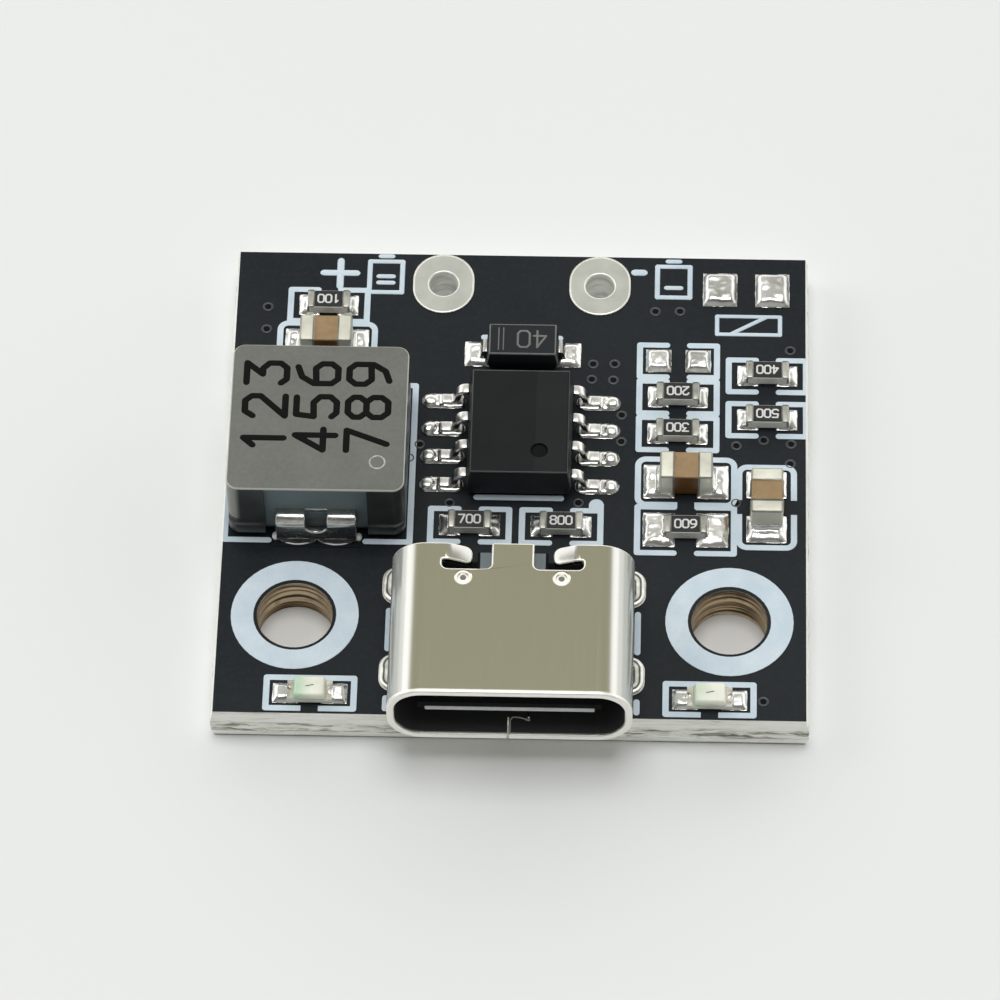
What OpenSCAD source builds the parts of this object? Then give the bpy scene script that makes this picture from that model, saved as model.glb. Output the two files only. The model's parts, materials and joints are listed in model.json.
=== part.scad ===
// Lithium battery charger module: a small circuit board with a power socket at its front edge,
// battery pads at its back edge, an inductor, a charger chip and small soldered parts.
// X runs to the right, Y towards the battery pads, Z up; the origin is the middle of the underside.

/* [Board] */
// Width of the black mask, side to side
board_w = 21.75; // [21.5:0.05:30]
// Depth of the black mask, front to back
board_d = 20.83; // [20.6:0.01:30]
// Thickness over both masks
board_t = 1.6; // [1.2:0.1:2.4]
// Depth of the scored groove along each edge, on each face
score_depth = 0.55; // [0.2:0.05:0.55]
// How far the broken web stands out past the mask
score_out = 0.13; // [0.05:0.01:0.25]
// Thickness of each solder mask
mask_t = 0.03; // [0.02:0.01:0.05]
// Thickness of the white print
print_t = 0.02; // [0.01:0.01:0.04]
// How far a tinned land stands above its mask
land_rise = 0.03; // [0.01:0.01:0.06]
// Wall of the plating in a hole
plating_t = 0.05; // [0.03:0.01:0.08]

/* [Mounting holes] */
// Diameter of the two mounting holes
hole_d = 2.85; // [2:0.05:3.1]
// Distance from a side edge to the hole beside it
hole_side = 2.835; // [2.6:0.005:3]
// Distance from the front edge to the holes
hole_front = 4.25; // [3.9:0.05:4.4]
// Outer diameter of the printed ring round a hole
ring_d = 4.74; // [4:0.02:4.8]
// Bare mask between a hole and its printed ring
ring_gap = 0.115; // [0.05:0.005:0.3]

/* [Battery pads] */
// Diameter of the hole for a battery wire
wire_hole_d = 1.1; // [0.8:0.05:1.4]
// Width of a battery pad
battery_pad_w = 2.35; // [2:0.05:2.6]
// Length of a battery pad, front to back
battery_pad_l = 2.75; // [2.6:0.05:2.9]
// Distance between the two battery pads
battery_pitch = 6; // [5:0.1:6.4]
// Bare mask between a battery pad and the back edge
battery_edge = 0.015; // [0.01:0.005:0.3]

/* [Sensor pads] */
// Width of a temperature sensor pad
sensor_pad_w = 1.3; // [1:0.05:1.6]
// Length of a temperature sensor pad
sensor_pad_l = 1.55; // [1.2:0.05:1.7]
// Distance between the two sensor pads
sensor_pitch = 2; // [1.7:0.05:2.2]
// Distance from the right edge to the outer sensor pad's middle
sensor_side = 1.27; // [0.9:0.01:1.5]
// Distance from the back edge to the middle of the sensor pads
sensor_back = 1.5; // [1:0.05:1.6]

/* [Socket shell] */
// Offset of the socket from the board's middle line
socket_x = 0.05; // [-0.3:0.01:0.3]
// Width of the shell
shell_w = 8.94; // [8.6:0.02:9.2]
// Height of the shell
shell_h = 3.16; // [2.9:0.02:3.5]
// Length of the shell
shell_l = 6.5; // [6.2:0.05:6.8]
// Thickness of the shell's sheet
shell_wall = 0.28; // [0.15:0.01:0.35]
// Radius of its corners, at the outer face
shell_r = 1.3; // [0.9:0.05:1.4]
// How far the mouth stands out past the front edge
shell_out = 0.99; // [0.5:0.01:1.5]
// Width of a window in the shell's rear edge
window_w = 1.82; // [1.5:0.02:2]
// Length of a window in the shell's rear edge
window_l = 1.12; // [0.9:0.02:1.3]
// Radius of a window's corners
window_r = 0.22; // [0.1:0.02:0.3]
// Width of the sheet left between the two windows
window_gap = 1.56; // [1:0.02:1.8]
// Length of the spring finger in a window
finger_l = 1.2; // [0.8:0.05:1.3]
// Width of a spring finger
finger_w = 0.72; // [0.4:0.02:0.8]
// Angle by which a finger is bent down
finger_angle = 22; // [10:1:30]
// Diameter of the pressed dimples on the shell
dimple_d = 0.66; // [0.4:0.02:0.8]
// Depth of the pressed dimples
dimple_depth = 0.1; // [0.04:0.01:0.12]
// Distance between the two dimples
dimple_pitch = 3.6; // [3:0.05:4.2]
// Distance from the rear edge to the dimples
dimple_rear = 1.52; // [1.45:0.01:1.8]
// Width of the seam's gap in the shell's floor
seam_w = 0.05; // [0.03:0.01:0.1]

/* [Socket legs] */
// Width of a leg, front to back
leg_w = 0.5; // [0.4:0.02:0.54]
// Distance from the front edge to the front legs
leg_front = 1.78; // [1.6:0.02:1.9]
// Height of a leg's end above the underside
leg_end = 0.4; // [0.1:0.05:0.6]
// Room between a leg and its slot, sideways
slot_room = 0.23; // [0.1:0.01:0.25]
// Length of a leg's slot
slot_l = 1.25; // [1.2:0.01:1.4]
// Distance between a rear leg and the middle of its slot
slot_back = 0.33; // [0.2:0.01:0.35]
// Width of the tinned land round a slot
slot_land = 0.2; // [0.15:0.01:0.25]
// Height of the solder on a slot's land
slot_solder_h = 0.12; // [0.05:0.01:0.15]

/* [Socket inside] */
// Width of the tongue
tongue_w = 6.69; // [6:0.01:7]
// Thickness of the tongue
tongue_t = 0.7; // [0.5:0.02:0.9]
// Distance of the tongue's tip behind the mouth
tongue_back = 0.45; // [0.2:0.05:1.2]
// Length of the rear block
block_l = 2.3; // [2:0.05:3]
// Distance of the rear block from the shell's rear edge
block_back = 0.25; // [0.1:0.05:0.4]
// Room between the rear block and the shell
block_room = 0.02; // [0.01:0.01:0.05]
// Thickness of a contact strip
contact_t = 0.12; // [0.08:0.01:0.16]
// Width of a power contact
power_contact_w = 0.6; // [0.4:0.02:0.7]
// Width of a signal contact
signal_contact_w = 0.3; // [0.2:0.02:0.4]
// Length of a contact's tail behind the block
tail_l = 1; // [0.7:0.05:1.2]

/* [Inductor] */
// Width of the inductor's body
inductor_w = 6.6; // [6:0.02:7]
// Length of the body, front to back
inductor_l = 6.54; // [6:0.02:7]
// Height of the body above the board
inductor_h = 3; // [2.4:0.05:4]
// Radius of the body's upright corners
inductor_r = 0.45; // [0.2:0.05:0.7]
// Distance from the front edge to the inductor's middle
inductor_front = 11.1; // [11:0.05:11.4]
// Distance from the left edge to the inductor's body
inductor_side = 0.215; // [0.16:0.005:0.4]
// Least gap between the inductor and the chip's lands
inductor_gap = 0.3; // [0.1:0.02:0.4]
// Height of the stepped foot of the body
inductor_foot_h = 0.5; // [0.3:0.05:0.6]
// How far the foot stands out at the front and rear
inductor_foot_out = 0.12; // [0.05:0.01:0.2]
// Width of the shallow recess in the front and rear faces
recess_w = 3.82; // [3.5:0.02:4.5]
// Depth of that recess
recess_depth = 0.15; // [0.05:0.01:0.25]
// Height of the rim left over the recess
recess_top = 0.15; // [0.05:0.01:0.3]
// Width of a terminal
terminal_w = 3; // [2.4:0.05:3.4]
// Thickness of a terminal's sheet
terminal_t = 0.22; // [0.15:0.01:0.3]
// How far a terminal stands out past the body
terminal_out = 0.42; // [0.3:0.02:0.6]
// Height of a terminal's top edge
terminal_h = 1.5; // [1.1:0.05:1.9]
// Width of the notch in a terminal
notch_w = 0.8; // [0.5:0.05:1.2]
// Depth of the notch, down from the top edge
notch_depth = 0.75; // [0.5:0.05:0.9]

/* [Charger chip] */
// Offset of the chip from the board's middle line
chip_x = 0.12; // [-0.1:0.01:0.3]
// Distance from the front edge to the chip's middle
chip_front = 12.06; // [12:0.01:12.3]
// Width of the chip's body
chip_w = 3.9; // [3.6:0.05:4.2]
// Length of the chip's body
chip_l = 4.9; // [4.6:0.05:5.2]
// Height of the chip's body
chip_h = 1.45; // [1.2:0.05:1.7]
// Gap under the chip's body
chip_lift = 0.1; // [0.06:0.01:0.2]
// How much each moulded face leans in
chip_draft = 0.12; // [0.05:0.01:0.2]
// Distance between the chip's leads
lead_pitch = 1.27; // [1.1:0.01:1.35]
// Width of a lead
lead_w = 0.41; // [0.3:0.01:0.5]
// Thickness of a lead
lead_t = 0.2; // [0.12:0.01:0.25]
// How far a lead reaches out of the body
lead_out = 1.05; // [0.95:0.01:1.2]
// Length of a lead's foot
foot_l = 0.5; // [0.35:0.05:0.6]
// Radius of a lead's bends, at their inner side
lead_bend = 0.08; // [0.04:0.01:0.12]
// Diameter of the dimple that marks the first lead
mark_d = 0.65; // [0.4:0.05:0.9]
// Depth of that dimple
mark_depth = 0.06; // [0.03:0.01:0.1]
// Distance of the dimple from the body's side
mark_side = 1.2; // [0.8:0.05:1.4]
// Distance of the dimple from the body's front end
mark_end = 1.13; // [0.8:0.05:1.4]
// Width of a lead's land
lead_land_w = 0.66; // [0.5:0.02:0.8]
// Length of a lead's land
lead_land_l = 1.65; // [1.4:0.05:1.8]
// How far a land reaches past its lead
lead_land_out = 0.75; // [0.4:0.05:0.8]

/* [Diode] */
// Gap between the chip and the diode
diode_gap = 0.88; // [0.6:0.02:1]
// Length of the diode's body
diode_l = 2.7; // [2.5:0.05:2.9]
// Width of the diode's body
diode_w = 1.55; // [1.4:0.05:1.7]
// Height of the diode's body
diode_h = 1; // [0.8:0.05:1.2]
// Gap under the diode's body
diode_lift = 0.06; // [0.04:0.01:0.1]
// How much each moulded face leans in
diode_draft = 0.08; // [0.04:0.01:0.12]
// Width of the diode's leads
diode_lead_w = 0.6; // [0.4:0.05:0.8]
// Thickness of the diode's leads
diode_lead_t = 0.15; // [0.1:0.01:0.2]
// Distance over the tips of the diode's leads
diode_span = 3.75; // [3.6:0.05:3.9]
// Length of a diode lead's foot
diode_foot = 0.28; // [0.2:0.02:0.32]
// Width of a diode land, front to back
diode_land_w = 1.12; // [0.9:0.02:1.2]
// Length of a diode land
diode_land_l = 1; // [0.8:0.05:1.1]
// Distance over the two diode lands
diode_land_span = 4.42; // [4.3:0.02:4.6]

/* [Chip resistors] */
// Length of a chip resistor
resistor_l = 1.6; // [1.5:0.02:1.8]
// Width of a chip resistor
resistor_w = 0.78; // [0.7:0.02:0.85]
// Height of a chip resistor
resistor_h = 0.45; // [0.35:0.01:0.6]
// Length of a resistor's end cap
resistor_end = 0.26; // [0.2:0.02:0.35]
// Thickness of a resistor's end cap
resistor_end_t = 0.04; // [0.03:0.01:0.06]
// Distance over a resistor's two lands
small_land_span = 2.26; // [2.2:0.02:2.4]
// Length of a resistor's land
small_land_l = 0.8; // [0.7:0.02:0.85]
// Width of a resistor's land
small_land_w = 0.92; // [0.88:0.02:1]

/* [Chip capacitors] */
// Length of a chip capacitor
capacitor_l = 1.98; // [1.8:0.02:2.2]
// Width of a chip capacitor
capacitor_w = 1.2; // [1:0.02:1.3]
// Height of a chip capacitor
capacitor_h = 1.2; // [0.8:0.02:1.4]
// Length of a capacitor's end cap
capacitor_end = 0.55; // [0.4:0.01:0.6]
// Thickness of a capacitor's end cap
capacitor_end_t = 0.03; // [0.02:0.01:0.05]
// Radius of a capacitor's corners
capacitor_r = 0.1; // [0.08:0.01:0.15]
// Distance over a capacitor's two lands
large_land_span = 3.18; // [3:0.02:3.3]
// Length of a capacitor's land
large_land_l = 1.18; // [1:0.02:1.3]
// Width of a capacitor's land
large_land_w = 1.5; // [1.4:0.02:1.6]

/* [Lamps] */
// Length of an indicator lamp
lamp_l = 1.66; // [1.5:0.02:1.8]
// Width of an indicator lamp
lamp_w = 0.82; // [0.7:0.02:0.9]
// Height of a lamp's base
lamp_base_h = 0.24; // [0.15:0.01:0.3]
// Height of a lamp's lens
lamp_lens_h = 0.36; // [0.2:0.02:0.5]
// Length of a lamp's lens, at its foot
lamp_lens_l = 1.24; // [1:0.02:1.3]
// Distance from a side edge to the lamp beside it
lamp_side = 3.545; // [3.4:0.005:3.8]
// Distance from the front edge to the lamps
lamp_front = 0.82; // [0.8:0.01:0.9]
// Distance over a lamp's two lands
lamp_land_span = 2.74; // [2.6:0.02:2.8]
// Length of a lamp's land
lamp_land_l = 0.95; // [0.8:0.05:1]
// Width of a lamp's land
lamp_land_w = 0.84; // [0.8:0.02:0.9]

/* [Layout] */
// Gap between the chip's lands and the frames of the right column
column_gap = 0.59; // [0.4:0.01:0.8]
// Row pitch of the three frames at the top of the right column
cell_pitch = 1.675; // [1.6:0.005:1.72]
// Gap between the capacitor's frame and those three frames
cell_gap = 0.2; // [0.05:0.01:0.2]
// Distance from the right edge to the middle of the edge column
edge_side = 1.455; // [1.2:0.005:1.5]
// Distance from the right edge to the middle of the upright capacitor
cap_side = 1.475; // [1.2:0.005:1.5]
// Least gap between the frames of two columns
column_room = 0.05; // [0:0.01:0.15]
// Least gap between the socket's lands and the print beside them
socket_room = 0.3; // [0.1:0.02:0.4]
// Distance between the two resistors of the edge column
edge_pitch = 2.02; // [1.8:0.01:2.1]
// Distance from the front edge to the lower resistor of the edge column
edge_front = 13.32; // [13.2:0.01:13.5]
// Distance from the front edge to the foot of the right column
column_front = 7.13; // [7:0.01:7.3]
// Distance from the front edge to the pair of resistors behind the socket
pair_front = 8.34; // [8.2:0.01:8.4]
// Distance between that pair
pair_pitch = 3.42; // [3.2:0.02:3.6]
// Gap between the inductor's frame and the capacitor behind it
stack_gap = 0.94; // [0.6:0.01:1]
// Distance between that capacitor and the resistor behind it
stack_pitch = 1.88; // [1.7:0.01:1.95]

/* [Print] */
// Width of a printed line
line_w = 0.23; // [0.15:0.01:0.3]
// Width of the frame round a small part
small_frame_w = 3.16; // [3:0.02:3.3]
// Depth of the frame round a small part
small_frame_d = 1.7; // [1.6:0.02:1.8]
// Width of the frame round a large part
large_frame_w = 3.84; // [3.7:0.02:4]
// Depth of the frame round a large part
large_frame_d = 2.28; // [2.1:0.02:2.4]
// Width of the gap in a frame
frame_gap = 0.64; // [0.4:0.02:0.9]
// Corner radius of a capacitor's frame
frame_r = 0.42; // [0.3:0.02:0.6]
// Width of a lamp's frame
lamp_frame_w = 3.45; // [3.3:0.01:3.6]
// Depth of a lamp's frame
lamp_frame_d = 1.55; // [1.4:0.01:1.6]
// Gap between the inductor and its printed frame, at the sides
inductor_frame_side = 0.155; // [0.1:0.005:0.2]
// Gap between the inductor and its printed frame, front and rear
inductor_frame_end = 0.4; // [0.3:0.02:0.6]
// Width of the gap that the frame leaves for a terminal
terminal_gap = 3.62; // [3.5:0.02:4]
// Length of the bar printed in front of the chip
bar_l = 3.4; // [2.6:0.05:3.6]
// Diameter of the printed dot by the first lead
dot_d = 0.56; // [0.4:0.02:0.7]
// Height of that dot's middle over the frame below it
dot_rise = 0.13; // [0.05:0.01:0.15]

/* [Solder] */
// Height of a solder fillet on a resistor's or a lamp's end
fillet_h = 0.3; // [0.15:0.01:0.34]
// Height of a solder fillet on a capacitor's end
tall_fillet_h = 0.6; // [0.3:0.02:0.75]
// Height of the solder at a lead's tip
tip_fillet_h = 0.16; // [0.08:0.01:0.2]
// Height of the solder on the sensor pads and the spare lands
pool_h = 0.08; // [0.04:0.01:0.12]

/* [Hidden] */

$fn = 48;
bite = 0.1;                      // how far a cutter runs past the face that it cuts
ceramic = "#c9c9c4";
tin = "#d6d6d2";
solder = "#e4e4e0";
mask_black = "#23272b";
print_white = "#cfdde8";

// Heights
top = board_t;                   // upper face of the mask
land_top = top + land_rise;      // upper face of a land
front = -board_d / 2;            // front edge
back = board_d / 2;              // back edge

// Socket
shell_front = front - shell_out;
shell_rear = shell_front + shell_l;
shell_axis = top + shell_h / 2;
leg_x = shell_w / 2 - shell_wall / 2 - 0.01;
leg_rows = [front + leg_front, shell_rear - leg_w / 2];
slot_rows = [leg_rows[0], leg_rows[1] + slot_back];
slot_w = shell_wall + 2 * slot_room;
slot_reach = slot_l / 2 + slot_land;
socket_side = socket_x + leg_x + slot_w / 2 + slot_land + socket_room;
block_rear = shell_rear - block_back;
block_front = block_rear - block_l;
foot_w = 6.4;                    // width of the block's foot, in the opening of the shell's floor
contact_rows = [[-2.75, power_contact_w], [-1.52, power_contact_w], [-0.5, signal_contact_w],
  [0.5, signal_contact_w], [1.52, power_contact_w], [2.75, power_contact_w]];

// Places on the board: [x, y] of each part's middle
lead_span = chip_w + 2 * lead_out;
lead_land_x = lead_span / 2 + lead_land_out - lead_land_l / 2;
chip_reach = lead_span / 2 + lead_land_out;
chip_y = front + chip_front;
inductor_x = min(inductor_side + (inductor_w - board_w) / 2,
  chip_x - chip_reach - inductor_gap - inductor_w / 2);
inductor_y = front + inductor_front;
diode_y = chip_y + chip_l / 2 + diode_gap + diode_w / 2;
column_left = chip_x + chip_reach + column_gap;
small_x = column_left + small_frame_w / 2;
large_x = column_left + large_frame_w / 2;
edge_x = max(board_w / 2 - edge_side, small_x + small_frame_w + column_room);
large_y = front + column_front + large_frame_d / 2;
column_cap_y = large_y + large_frame_d - line_w / 2;
cell_y = column_cap_y + large_frame_d / 2 + cell_gap + small_frame_d / 2;
stack_y = inductor_y + inductor_l / 2 + inductor_frame_end + stack_gap + large_land_w / 2;
side_cap = [max(board_w / 2 - cap_side, large_x + (large_frame_w + large_frame_d) / 2 - line_w),
  (large_y + column_cap_y) / 2];
resistors = [[inductor_x, stack_y + stack_pitch],
  [small_x, cell_y + cell_pitch],
  [small_x, cell_y],
  [edge_x, front + edge_front + edge_pitch],
  [edge_x, front + edge_front],
  [large_x, large_y],
  [socket_x - 0.025 - pair_pitch / 2, front + pair_front],
  [socket_x - 0.025 + pair_pitch / 2, front + pair_front]];
spare_place = [small_x, cell_y + 2 * cell_pitch];
capacitors = [[inductor_x, stack_y, 0], [large_x, column_cap_y, 0], [side_cap.x, side_cap.y, 90]];
lamp_x = max(board_w / 2 - lamp_side, socket_side + lamp_frame_w / 2);
lamps = [for (s = [-1, 1]) [s * lamp_x, front + lamp_front]];
hole_x = max(board_w / 2 - hole_side, socket_side + ring_d / 2);
holes = [for (s = [-1, 1]) [s * hole_x, front + hole_front]];
battery_y = back - battery_edge - battery_pad_l / 2;
sensor_places = [for (i = [0, 1]) [board_w / 2 - sensor_side - i * sensor_pitch, back - sensor_back]];

// Small parts' own sizes
foot_l_y = 1.3;                  // length of the opening in the shell's floor
seam_pitch = 0.8;                // length of one dovetail of the seam
seam_throw = 0.7;                // how far the seam steps to the side
seam_path = [[-0.1, -0.1], [-0.1, 1], [1, 0.8], [0.85, 1.9], [-0.25, 1.7], [-0.1, 2.9], [1, 2.7],
  [0.85, 3.8], [-0.1, 3.6], [-0.1, 5]];
dimple_ball = (dimple_d * dimple_d / 4 + dimple_depth * dimple_depth) / (2 * dimple_depth);
pocket_depth = shell_wall + finger_l * sin(finger_angle) + 0.2;
terminal_root = 0.5;             // how deep a terminal is anchored in the body
terminal_loop = 2.4;             // length of the loop that a terminal's strip is bent to
terminal_foot_l = 1.75;
terminal_foot_y = inductor_l / 2 + terminal_out + 0.14 - terminal_foot_l / 2;
lobe_bulge = 0.3;                // how far the two solder lobes bulge beyond their sides
spare_span = 2.46;
spare_l = 0.96;
spare_w = 1.04;
lamp_end_t = 0.03;
lamp_notch_r = 0.2;

// A flat outline with full-round ends, long along X
module stadium(l, w) {
  square([l - w, w], center = true);
  for (s = [-1, 1]) translate([s * (l - w) / 2, 0]) circle(d = w);
}

// A rectangle with round corners
module rounded(w, d, r) {
  square([w - 2 * r, d], center = true);
  square([w, d - 2 * r], center = true);
  for (x = [-1, 1], y = [-1, 1]) translate([x * (w / 2 - r), y * (d / 2 - r)]) circle(r = r);
}

// A line through the points, with round ends and corners
module stroke(points, w = line_w) {
  for (p = points) translate(p) circle(d = w);
  for (i = [1 : len(points) - 1]) {
    step = points[i] - points[i - 1];
    translate((points[i] + points[i - 1]) / 2) rotate(atan2(step.y, step.x))
      square([norm(step), w], center = true);
  }
}

// Both halves of a part that is the same left and right
module both_sides() {
  for (s = [0, 1]) mirror([s, 0, 0]) children();
}

// A square frame of printed line, open in the middle of its front and rear sides
module printed_frame(w, d) {
  x = (w - line_w) / 2;
  y = (d - line_w) / 2;
  inner = (frame_gap + line_w) / 2;
  both_sides() stroke([[inner, y], [x, y], [x, -y], [inner, -y]]);
}

// The same with large round corners
module round_frame(w, d) {
  difference() {
    rounded(w, d, frame_r);
    rounded(w - 2 * line_w, d - 2 * line_w, frame_r - line_w);
    square([frame_gap, d + bite], center = true);
  }
}

// Two lands of a part with two ends
module land_pair(span, l, w) {
  for (s = [-1, 1]) translate([s * (span - l) / 2, 0]) square([l, w], center = true);
}

module lead_land_places() {
  for (s = [-1, 1], i = [-1.5 : 1.5])
    translate([chip_x + s * lead_land_x, chip_y + i * lead_pitch]) children();
}

module component_land_outline() {
  lead_land_places() stadium(lead_land_l, lead_land_w);
  translate([chip_x, diode_y]) land_pair(diode_land_span, diode_land_l, diode_land_w);
  for (i = [0 : len(resistors) - 1]) translate(resistors[i])
    if (i == 5) land_pair(large_land_span, large_land_l, large_land_w);
    else land_pair(small_land_span, small_land_l, small_land_w);
  for (c = capacitors) translate([c.x, c.y]) rotate(c.z)
    land_pair(large_land_span, large_land_l, large_land_w);
  for (p = lamps) translate(p) land_pair(lamp_land_span, lamp_land_l, lamp_land_w);
  for (c = contact_rows) translate([socket_x + c.x, block_rear + tail_l / 2 + 0.1])
    square([c.y + 0.16, tail_l], center = true);
  for (s = [-1, 1]) translate([inductor_x, inductor_y + s * terminal_foot_y])
    square([terminal_w + 0.3, terminal_foot_l], center = true);
}

module spare_land_outline() {
  translate(spare_place) land_pair(spare_span, spare_l, spare_w);
}

module sensor_pad_outline() {
  for (p = sensor_places) translate(p) square([sensor_pad_w, sensor_pad_l], center = true);
}

module battery_pad_outline(side) {
  translate([side * battery_pitch / 2, battery_y]) rotate(90) stadium(battery_pad_l, battery_pad_w);
}

module slot_places() {
  for (s = [-1, 1], y = slot_rows) translate([socket_x + s * leg_x, y]) children();
}

module slot_outline(grow) {
  rotate(90) stadium(slot_l + 2 * grow, slot_w + 2 * grow);
}

module battery_pad(side) {
  difference() {
    union() {
      linear_extrude(mask_t) battery_pad_outline(side);
      translate([0, 0, top - mask_t]) linear_extrude(mask_t + land_rise) battery_pad_outline(side);
      translate([side * battery_pitch / 2, battery_y, 0])
        cylinder(h = land_top, d = wire_hole_d + 2 * plating_t);
    }
    translate([side * battery_pitch / 2, battery_y, -bite])
      cylinder(h = top + 2 * bite, d = wire_hole_d);
  }
}

// A bent strip of sheet: its middle line is a path in X and Z, rounded at each bend
function unit(v) = v / norm(v);
function turned(v) = [-v.y, v.x];
function bend(p, a, b, r) = [for (s = [0 : 0.25 : 1])
  (1 - s) * (1 - s) * (p - r * a) + 2 * s * (1 - s) * p + s * s * (p + r * b)];
function rounded_path(path, r) = [path[0],
  for (i = [1 : len(path) - 2])
    each bend(path[i], unit(path[i] - path[i - 1]), unit(path[i + 1] - path[i]), r),
  path[len(path) - 1]];
function beside(path, d) = [for (i = [0 : len(path) - 1])
  let (a = unit(i == 0 ? path[1] - path[0] : path[i] - path[i - 1]),
       b = i == len(path) - 1 ? a : unit(path[i + 1] - path[i]))
  path[i] + d * (turned(a) + turned(b)) / (1 + a * b)];
function reversed(list) = [for (i = [len(list) - 1 : -1 : 0]) list[i]];

module bent_strip(path, t, r, w) {
  middle = rounded_path(path, r);
  rotate([90, 0, 0]) linear_extrude(w, center = true)
    polygon(concat(beside(middle, t / 2), reversed(beside(middle, -t / 2))));
}

// A moulded block: a straight band at mid-height, with faces that lean in above and below it
module moulded(w, l, h, lean, band) {
  module profile(size) {
    a = size / 2;
    b = a - lean;
    low = (h - band) / 2;
    high = (h + band) / 2;
    polygon([[-b, 0], [b, 0], [a, low], [a, high], [b, h], [-b, h], [-a, high], [-a, low]]);
  }
  intersection() {
    rotate([90, 0, 0]) linear_extrude(l + bite, center = true) profile(w);
    rotate([90, 0, 90]) linear_extrude(w + bite, center = true) profile(l);
  }
}

// A hollow solder fillet that rises from its toe, at X = reach, to its top, at X = 0
module fillet(reach, h, w) {
  rotate([90, 0, 0]) linear_extrude(w, center = true)
    polygon([[0, 0], for (s = [0 : 0.2 : 1]) [reach * (1 - s) * (1 - s), h * s * s]]);
}

module board_core() {
  module scored(size) {
    a = size / 2;
    b = a + score_out;
    low = mask_t;
    high = top - mask_t;
    polygon([[-a, low], [a, low], [b, low + score_depth], [b, high - score_depth], [a, high],
      [-a, high], [-b, high - score_depth], [-b, low + score_depth]]);
  }
  color("#b9b49a") difference() {
    intersection() {
      rotate([90, 0, 0]) linear_extrude(board_d + 2, center = true) scored(board_w);
      rotate([90, 0, 90]) linear_extrude(board_w + 2, center = true) scored(board_d);
    }
    for (p = holes) translate([p.x, p.y, -bite]) cylinder(h = top + 2 * bite, d = hole_d);
    for (s = [-1, 1]) translate([s * battery_pitch / 2, battery_y, -bite])
      cylinder(h = top + 2 * bite, d = wire_hole_d + 2 * plating_t);
    slot_places() translate([0, 0, -bite]) linear_extrude(top + 2 * bite) slot_outline(plating_t);
  }
}

module mask_outline() {
  difference() {
    square([board_w, board_d], center = true);
    for (p = holes) translate(p) circle(d = hole_d);
    for (s = [-1, 1]) battery_pad_outline(s);
    slot_places() slot_outline(slot_land);
  }
}

module solder_mask_top() {
  color(mask_black) translate([0, 0, top - mask_t]) linear_extrude(mask_t) difference() {
    mask_outline();
    sensor_pad_outline();
    component_land_outline();
    spare_land_outline();
  }
}

module solder_mask_bottom() {
  color(mask_black) linear_extrude(mask_t) mask_outline();
}

module silkscreen_print() {
  frame_half = (inductor_w + line_w) / 2 + inductor_frame_side - line_w / 2;
  frame_end = inductor_l / 2 + inductor_frame_end - line_w / 2;
  beside_socket = shell_w / 2 + line_w / 2 + 0.02;
  color(print_white) translate([0, 0, top]) linear_extrude(print_t) intersection() {
    union() {
      for (p = holes) translate(p) difference() {
        circle(d = ring_d);
        circle(d = hole_d + 2 * ring_gap);
      }
      for (i = [0 : len(resistors) - 1]) translate(resistors[i])
        if (i == 5) printed_frame(large_frame_w, large_frame_d);
        else printed_frame(small_frame_w, small_frame_d);
      translate(spare_place) printed_frame(small_frame_w, small_frame_d);
      for (c = capacitors) translate([c.x, c.y]) rotate(c.z)
        round_frame(large_frame_w, large_frame_d);
      for (p = lamps) translate([p.x, front + lamp_frame_d / 2 + 0.07])
        difference() {
          rounded(lamp_frame_w, lamp_frame_d, line_w / 2);
          square([lamp_frame_w - 2 * line_w, lamp_frame_d - 2 * line_w], center = true);
          translate([0, -lamp_frame_d / 2]) square([frame_gap, 3 * line_w], center = true);
        }
      translate([inductor_x, inductor_y]) both_sides()
        stroke([[terminal_gap / 2, frame_end], [frame_half, frame_end],
          [frame_half, -frame_end], [terminal_gap / 2, -frame_end]]);
      translate([chip_x, chip_y - chip_l / 2]) stroke([[-(bar_l - line_w) / 2, 0],
        [(bar_l - line_w) / 2, 0]]);
      translate([chip_x, diode_y + diode_w / 2]) stroke([[-1.5, 0.02], [1.4, 0.02]]);
      translate([socket_x, front]) both_sides() {
        for (y = [[0, slot_rows[0] - front - slot_reach],
                  [slot_rows[0] - front + slot_reach, slot_rows[1] - front - slot_reach]])
          stroke([[beside_socket, y[0] + line_w], [beside_socket, y[1] - line_w - 0.04]]);
      }
      translate([resistors[7].x + (small_frame_w - dot_d) / 2, resistors[7].y + small_frame_d / 2]) {
        translate([0, dot_rise]) circle(d = dot_d);
        translate([-dot_d / 2, -line_w / 2]) square([dot_d, dot_rise + line_w / 2]);
      }
    }
    square([board_w, board_d], center = true);
  }
}

module battery_pad_positive() {
  color("#c9c6b8") battery_pad(-1);
}

module battery_pad_negative() {
  color("#c9c6b8") battery_pad(1);
}

module sensor_pads() {
  color(tin) {
    translate([0, 0, top - mask_t]) linear_extrude(mask_t + land_rise) sensor_pad_outline();
    for (p = sensor_places) translate([p.x, p.y, land_top])
      solder_pool(sensor_pad_w, sensor_pad_l);
  }
}

// A shallow pool of solder, with sides that lean in, on a land
module solder_pool(w, l) {
  lean = pool_h;
  module profile(size) {
    a = size / 2;
    polygon([[-a, 0], [a, 0], [a - lean, pool_h], [lean - a, pool_h]]);
  }
  intersection() {
    rotate([90, 0, 0]) linear_extrude(l, center = true) profile(w);
    rotate([90, 0, 90]) linear_extrude(w, center = true) profile(l);
  }
}

module component_lands() {
  color(tin) translate([0, 0, top - mask_t]) linear_extrude(mask_t + land_rise)
    component_land_outline();
}

module spare_lands() {
  color(tin) {
    translate([0, 0, top - mask_t]) linear_extrude(mask_t + land_rise) spare_land_outline();
    for (s = [-1, 1]) translate([spare_place.x + s * (spare_span - spare_l) / 2, spare_place.y, land_top])
      solder_pool(spare_l, spare_w);
  }
}

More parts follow.
